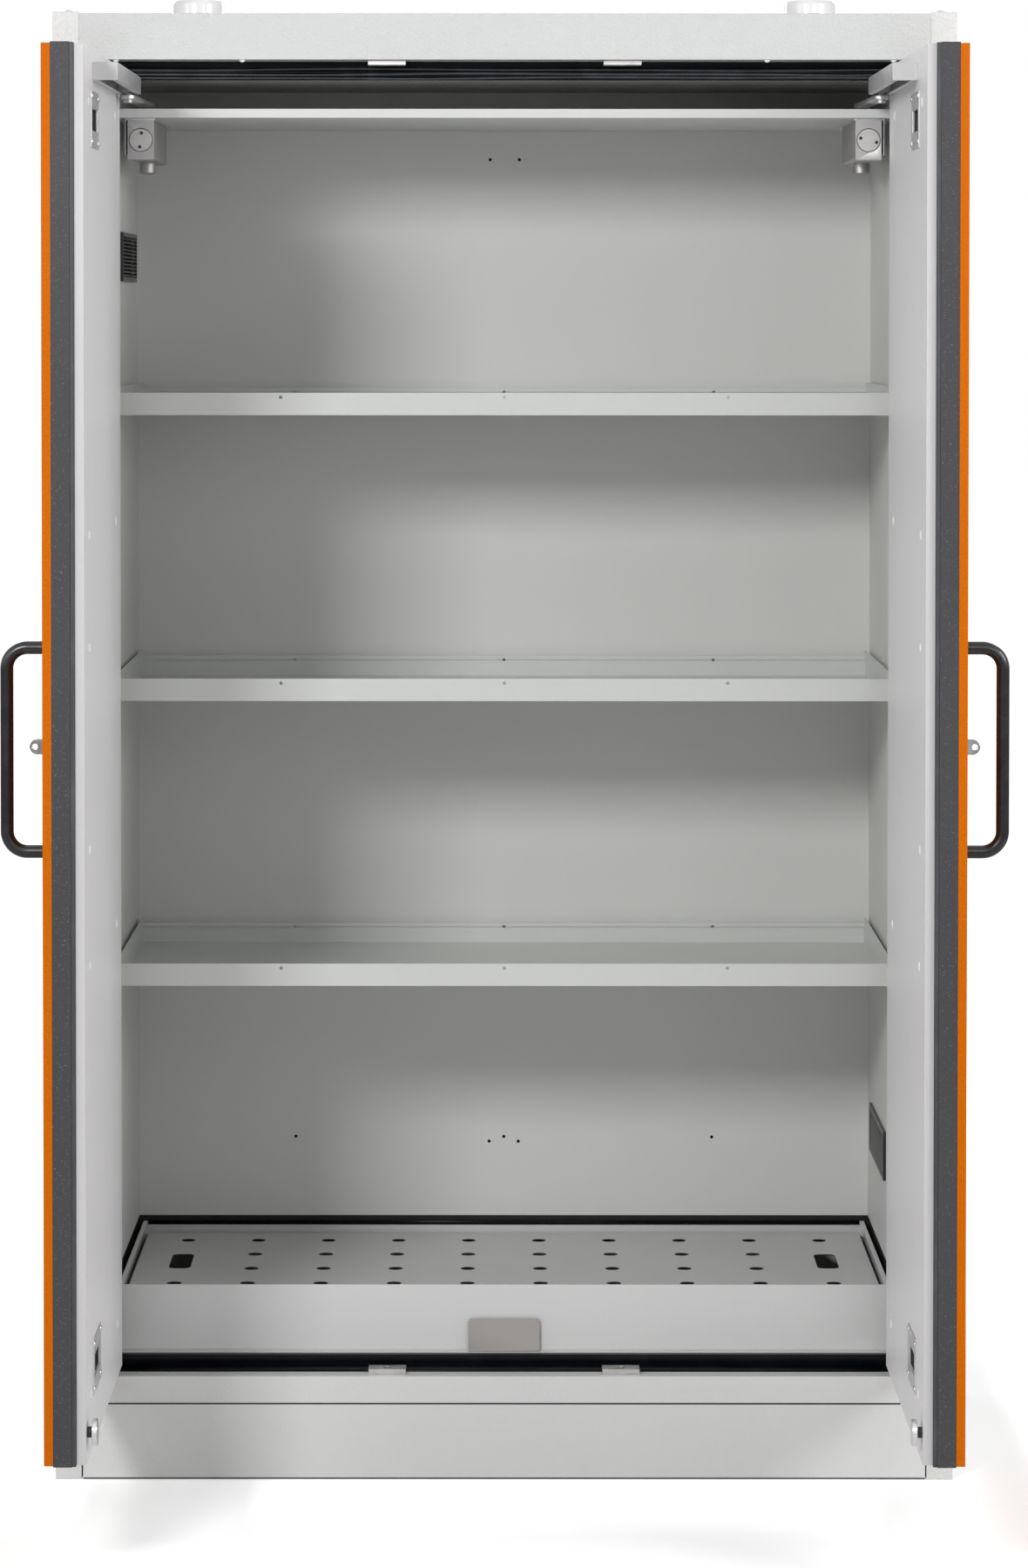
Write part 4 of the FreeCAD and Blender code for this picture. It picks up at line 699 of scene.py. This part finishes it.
def metal(name, tint, gloss, lines=0.4, clouds=0.08, stretch=(1.0, 1.0, 1.0)):
    """A bare or plated metal; stretch below 1 on an axis draws its lines out along that axis."""
    settings = {"Metal": (*tint, 1.0), "Gloss": gloss, "Lines": lines, "Clouds": clouds}
    settings.update({"Stretch X": stretch[0], "Stretch Y": stretch[1], "Stretch Z": stretch[2]})
    return finish_of(name, plated_metal, settings, (0.15, 0.0002), Metallic=1.0)


strike_zinc = metal("strike_zinc", (0.54, 0.53, 0.52), 0.42, 0.5, 0.1, (0.05, 1.0, 1.0))
eased("strike_plates", strike_zinc, plate_edge)
keeper_coat = finish_of(
    "keeper_coat",
    powder_coat,
    {"Paint": (0.385, 0.365, 0.355, 1.0), "Drift": 0.05, "Peel": 0.15, "Sheen": 0.5, "Smudge": 0.2},
    (0.3, 0.0003),
    Metallic=0.25,
)
eased("magnet_keeper", keeper_coat, plate_edge)


# Closer cover plate
# Coated sheet below the closers' mounting plates, its front and ends turned up
cover_coat = finish_of(
    "cover_coat",
    powder_coat,
    {
        "Paint": (0.66, 0.67, 0.66, 1.0),
        "Drift": 0.015,
        "Peel": 0.8,
        "Sheen": 0.42,
        "Smudge": 0.35,
        "Dust": 0.1,
    },
    (0.5, 0.0004),
)
eased("cover_plate", cover_coat, plate_edge)


# Door closers
# Cast housings with a screwed end plug, hung on plated brackets; slider and pin turned from steel
closer_cast = metal("closer_cast", (0.45, 0.44, 0.44), 0.5, 0.2, 0.04)
for node in ("closer_bodies", "closer_end_caps", "closer_slider_left", "closer_slider_right"):
    eased(node, closer_cast, 0.0007)
bracket_zinc = metal("bracket_zinc", (0.68, 0.68, 0.68), 0.34, 0.4, 0.1, (1.0, 0.06, 1.0))
eased("closer_brackets", bracket_zinc, plate_edge)

# Painted shade: dark rings and discs on the closer fronts stand in for the shaded seam round each
# end plug and its two spanner holes.
closer_gap_shade = finish_of(
    "closer_gap_shade",
    seal_rubber,
    {"Tint": (0.02, 0.02, 0.02, 1.0), "Bloom": 0.0, "Gloss": 0.5, "Wave": 0.0},
    (0.1, 0.0002),
)
plug_face = metal("plug_face", (0.56, 0.555, 0.55), 0.46, 0.6, 0.03, (0.08, 1.0, 1.0))
closer_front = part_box("closer_end_caps")[0][1]
plug_x, plug_z = 0.4865, 1.7845
gap_shade = [(0.0152, 0.0), (0.0152, 0.00025), (0.0160, 0.00025), (0.0160, 0.0)]
seats = [((x, closer_front + 0.0001, plug_z), (0, -1, 0)) for x in (-plug_x, plug_x)]
turned("closer_plug_gap_shades", gap_shade, seats, closer_gap_shade, "cabinet", 48)
face = [(0.0, 0.0004), (0.0146, 0.0004), (0.0151, 0.0), (0.0, 0.0)]
turned("closer_plug_faces", face, seats, plug_face, "cabinet", 48)
spanner_turns = ((-plug_x, 0.0011, 0.0092), (plug_x, 0.0105, -0.0028))
hole_shades = []
for x, dx, dz in spanner_turns:
    hole_shades += [((x + dx * way, closer_front, plug_z + dz * way), (0, -1, 0)) for way in (-1, 1)]
hole_shade = [(0.0, 0.0006), (0.0021, 0.0006), (0.0023, 0.0004), (0.0023, 0.0)]
turned("spanner_hole_shades", hole_shade, hole_shades, closer_gap_shade, "cabinet", 16)
closer_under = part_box("closer_bodies")[0][2]
for side in ("left", "right"):
    low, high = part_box(f"closer_spindle_{side}")
    tall = closer_under - (low[2] - 0.0008)
    cap = [(0.0, 0.0), (0.0106, 0.0), (0.0106, tall * 0.45), (0.0100, tall * 0.58)]
    cap += [(0.0088, tall * 0.62), (0.0088, tall * 0.86), (0.0078, tall * 0.96)]
    cap += [(0.0060, tall), (0.0, tall)]
    place = [(((low[0] + high[0]) / 2, (low[1] + high[1]) / 2, closer_under), (0, 0, -1))]
    turned(f"closer_lower_cap_{side}", cap, place, closer_cast, "cabinet", 40)


# Air grilles
# Moulded black louvres clipped into the side walls
grille_plastic = finish_of(
    "grille_plastic",
    seal_rubber,
    {"Tint": (0.010, 0.009, 0.008, 1.0), "Bloom": 0.12, "Gloss": 0.3, "Wave": 0.05},
    (0.2, 0.0005),
)
cover(nodes["air_grilles"], grille_plastic)


# Duct spigots and plugs
# Glossy white mouldings on the cabinet's top, each closed by a rounded plug
def plastic_group():
    """Even colour with the faint flow marks and handling haze of a moulding."""
    g = Group(
        "moulded_plastic",
        [("Haze", 0.1), ("Gloss", 0.2), ("Flow", 0.2)],
        [("Tint", (0.8, 0.8, 0.8, 1.0))],
    )
    haze_tone = 0.93
    haze = g.spread(g.noise(g.place, 30.0, 4.0, 0.6, 0.6), 0.4, 0.7, 0.0, 1.0)
    haze = g.math("MULTIPLY", haze, g.given["Haze"])
    colour = g.blend(haze, g.given["Tint"], g.scaled(g.given["Tint"], haze_tone))
    rough = g.math("ADD", g.given["Gloss"], g.math("MULTIPLY", haze, 0.4))
    return g.give(colour, rough, g.math("MULTIPLY", g.noise(g.place, 120.0, 2.0), g.given["Flow"]))


moulded_plastic = plastic_group()
spigot_white = finish_of(
    "spigot_white",
    moulded_plastic,
    {"Tint": (0.88, 0.88, 0.88, 1.0), "Haze": 0.1, "Gloss": 0.16, "Flow": 0.05},
    (0.2, 0.0005),
)
spigot_x, outside, bore, flange, rounding = 0.434, 0.03675, 0.03425, 0.05, 0.006
spigot_low, spigot_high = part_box("exhaust_spigots")
plug_low, plug_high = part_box("spigot_plugs")
foot, rim, top = spigot_low[2], spigot_high[2], plug_high[2]
middle_y = (spigot_low[1] + spigot_high[1]) / 2
stands = [((x, middle_y, 0.0), (0, 0, 1)) for x in (-spigot_x, spigot_x)]
tube = [(bore, foot), (flange - 0.0005, foot), (flange, foot + 0.0006), (flange, foot + 0.0022)]
tube += [(flange - 0.0008, foot + 0.003), (outside + 0.00175, foot + 0.003)]
tube += [(outside + 0.00045, foot + 0.0034), (outside, foot + 0.0045), (outside, rim)]
tube += [(bore, rim), (bore, foot)]
spigots = turned("duct_spigots", tube, stands, spigot_white, "cabinet", 72)
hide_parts("exhaust_spigots")
a = np.linspace(0, math.pi / 2, 8)
inward, down = rounding * (1.0 - np.sin(a)), rounding * (1.0 - np.cos(a))
bend = np.stack([outside - inward, top - down], axis=-1)
head = [(0.0, top), *bend.tolist(), (outside, rim + 0.0002), (bore - 0.0003, rim)]
head += [(bore - 0.0003, plug_low[2]), (0.0, plug_low[2])]
plugs = turned("duct_plugs", head, stands, spigot_white, "cabinet", 72)
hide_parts("spigot_plugs")


# Shelves and clips
# Pressed steel trays with hemmed lips, lying on small angle clips
shelf_coat = finish_of(
    "shelf_coat",
    powder_coat,
    {"Paint": (0.665, 0.680, 0.660, 1.0), "Peel": 0.6, "Sheen": 0.30, "Dust": 0.1},
    (0.4, 0.0004),
)
for node in ("shelf_bottom", "shelf_middle", "shelf_top"):
    eased(node, shelf_coat, 0.0009)
eased("shelf_clips", shelf_coat, small_edge)


# Sump tray and perforated insert
# Welded steel tray on the floor with a loose perforated plate on folded legs
sump_coat = finish_of(
    "sump_coat",
    powder_coat,
    {"Paint": (0.70, 0.702, 0.70, 1.0), "Peel": 0.8, "Sheen": 0.42, "Smudge": 0.4, "Dust": 0.12},
    (0.5, 0.0004),
)
# The insert's faces that don't lie flat are near black, painted shade that makes its punched holes
# look dark.
insert_coat = finish_of(
    "insert_coat",
    powder_coat,
    {
        "Paint": (0.66, 0.662, 0.66, 1.0),
        "Peel": 0.8,
        "Sheen": 0.42,
        "Smudge": 0.4,
        "Dust": 0.12,
        "Side Tone": 0.012,
    },
    (0.5, 0.0004),
)
eased("sump_tray", sump_coat, sheet_edge)
cover(nodes["perforated_insert"], insert_coat)


# Hinges
# Three per door: coated leaves with rolled knuckles round a steel pin
hinge_coat = finish_of(
    "hinge_coat",
    powder_coat,
    {"Paint": (0.52, 0.53, 0.52, 1.0), "Drift": 0.02, "Peel": 0.6, "Sheen": 0.4, "Dust": 0.1},
    (0.4, 0.0003),
)
for node in ("hinge_frame_leaves", "hinge_door_leaves_left", "hinge_door_leaves_right"):
    eased(node, hinge_coat, small_edge)
cover(nodes["hinge_pins"], metal("pin_steel", (0.55, 0.55, 0.54), 0.3))


# Doors
# An orange coated skin, a dark grey edge band over the filling and a light grey inner pan
door_orange = finish_of(
    "door_orange",
    powder_coat,
    {"Paint": (0.58, 0.128, 0.0003, 1.0), "Drift": 0.03, "Peel": 1.0, "Sheen": 0.3, "Smudge": 0.2},
    (1.0, 0.0016),
    Specular_IOR_Level=0.06,
)
edge_band = finish_of(
    "edge_band",
    powder_coat,
    {
        "Paint": (0.052, 0.051, 0.055, 1.0),
        "Drift": 0.05,
        "Peel": 0.8,
        "Sheen": 0.5,
        "Smudge": 0.2,
        "Flecks": 0.22,
    },
    (0.5, 0.0006),
    Specular_IOR_Level=0.25,
)
# The inner pan's front edge is darkened over its first 2 mm: painted shade.
inner_coat = finish_of(
    "inner_coat",
    powder_coat,
    {
        "Paint": (0.80, 0.785, 0.795, 1.0),
        "Peel": 0.9,
        "Sheen": 0.42,
        "Smudge": 0.35,
        "Dust": 0.05,
        "Rim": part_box("door_inner_pan_left")[0][1] + 0.0006,
        "Rim Tone": 0.70,
    },
    (0.5, 0.0004),
)
for side in ("left", "right"):
    eased(f"door_skin_{side}", door_orange, sheet_edge)
    eased(f"door_core_{side}", edge_band, sheet_edge)
    eased(f"door_inner_pan_{side}", inner_coat, sheet_edge)


# Door caps
# White snap-in plastic caps over the fixings in the inner sheet
cap_white = finish_of(
    "cap_white",
    moulded_plastic,
    {"Tint": (0.80, 0.80, 0.80, 1.0), "Haze": 0.3, "Gloss": 0.3, "Flow": 0.2},
    (0.2, 0.0003),
)
hinge_column, free_column = -0.0863, -0.4888
cap_places = [(y, z) for y in (hinge_column, free_column) for z in (0.226, 0.754, 1.282, 1.810)]
cap_places += [(free_column, z) for z in (0.896, 1.144)]
for side, sign in (("left", 1.0), ("right", -1.0)):
    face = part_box(f"door_inner_pan_{side}")[1 if sign > 0 else 0][0]
    caps = [((face, y, z), (sign, 0, 0)) for y, z in cap_places]
    head = dome(0.0065, 0.0022)
    turned(f"door_caps_{side}", head, caps, cap_white, f"door_{side}", 24)


# Handles
# Bent tube with a smooth black coat, screwed on from inside the door
handle_black = finish_of(
    "handle_black",
    moulded_plastic,
    {"Tint": (0.011, 0.011, 0.013, 1.0), "Haze": 0.3, "Gloss": 0.24, "Flow": 0.15},
    (0.15, 0.0003),
)
for side in ("left", "right"):
    cover(nodes[f"door_handle_{side}"], handle_black)


# Bright small parts
# Padlock lugs, latch bolts and spindles are plated steel
bright = metal("bright_plate", (0.72, 0.71, 0.69), 0.2, 0.3, 0.1)
for side in ("left", "right"):
    for node in ("padlock_lug", "latch_bolt_top", "latch_bolt_bottom"):
        eased(f"{node}_{side}", bright, small_edge)
    eased(f"closer_spindle_{side}", closer_cast, small_edge)


# Rails, arms and latch plates
# Drawn aluminium rail, flat steel arm and stamped face plates with a satin finish
satin = metal("satin_metal", (0.70, 0.695, 0.70), 0.42, 0.5, 0.06, (1.0, 0.03, 1.0))
latch_y, latch_heights = -0.4073, (0.2515, 1.791)
screw_offsets = [(dy, dz) for dy in (-0.045, 0.045) for dz in (-0.028, 0.028)]
for side in ("left", "right"):
    for node in ("guide_rail", "closer_arm", "latch_plates"):
        eased(f"{node}_{side}", satin, sheet_edge)

    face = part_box(f"latch_plates_{side}")[1 if side == "left" else 0][0]
    out = (1, 0, 0) if side == "left" else (-1, 0, 0)
    screws = []
    for z in latch_heights:
        screws += [((face, latch_y + dy, z + dz), out) for dy, dz in screw_offsets]
    head = dome(0.0042, 0.0018, 0.0014)
    turned(f"latch_screws_{side}", head, screws, bright, f"door_{side}", 16)


# Rail end caps
# Pale plastic plugs pressed into the front end of each closer rail
rail_plastic = finish_of(
    "rail_plastic",
    moulded_plastic,
    {"Tint": (0.64, 0.635, 0.64, 1.0), "Haze": 0.2, "Gloss": 0.35, "Flow": 0.1},
    (0.2, 0.0003),
)


def rounded_outline(low, high, radius):
    """Corner points of a rounded rectangle: each corner's centre plus radius (cos a, sin a) over
    its quarter."""
    turn = np.linspace(0.0, math.pi / 2, 5)
    points = []
    for quarter, pick in enumerate(((1, 1), (0, 1), (0, 0), (1, 0))):
        corner = np.where(pick, high - radius, low + radius)
        a = turn + quarter * math.pi / 2
        points.append(corner + radius * np.stack([np.cos(a), np.sin(a)], axis=-1))
    return np.concatenate(points)


def end_cap(name, low, high, start, depth, material, body):
    """A plug whose outline in X and Z is drawn in by 0 to 0.8 mm as it comes forward, like a
    moulded edge."""
    rings = []
    for inset, forward in ((0.0, 0.0), (0.0, depth * 0.6), (0.0003, depth * 0.9), (0.0008, depth)):
        outline = rounded_outline(low + inset, high - inset, 0.0022)
        rings.append(np.insert(outline, 1, start - forward, axis=1))
    faces = tube_faces(len(rings), len(rings[0])).tolist() + end_faces(len(rings), len(rings[0]))
    closed_piece(name, rings, faces, material, body, 0.0)


overhang, cap_depth = 0.0002, 0.003
for side in ("left", "right"):
    low, high = np.array(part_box(f"guide_rail_{side}"))
    edges = low[[0, 2]] - overhang, high[[0, 2]] + overhang
    end_cap(f"rail_front_cap_{side}", *edges, low[1], cap_depth, rail_plastic, f"door_{side}")


# Door magnets
# Pot magnets with a plated rim on a short stem
magnet_plate = metal("magnet_plate", (0.74, 0.74, 0.74), 0.14, 0.1, 0.05)
stem_rubber = finish_of(
    "stem_rubber",
    seal_rubber,
    {"Tint": (0.012, 0.012, 0.012, 1.0), "Bloom": 0.1, "Gloss": 0.4, "Wave": 0.1},
    (0.2, 0.0005),
)
for side, sign in (("left", 1.0), ("right", -1.0)):
    eased(f"door_magnet_{side}", magnet_plate, 0.0012, 3)
    low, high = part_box(f"door_magnet_{side}")
    root = low[0] if sign > 0 else high[0]
    place = [((root, (low[1] + high[1]) / 2, (low[2] + high[2]) / 2), (sign, 0, 0))]
    sleeve = [(0.0048, 0.0), (0.0068, 0.0), (0.0068, 0.0050), (0.0060, 0.0062), (0.0048, 0.0062)]
    turned(f"magnet_sleeve_{side}", sleeve, place, stem_rubber, f"door_{side}")
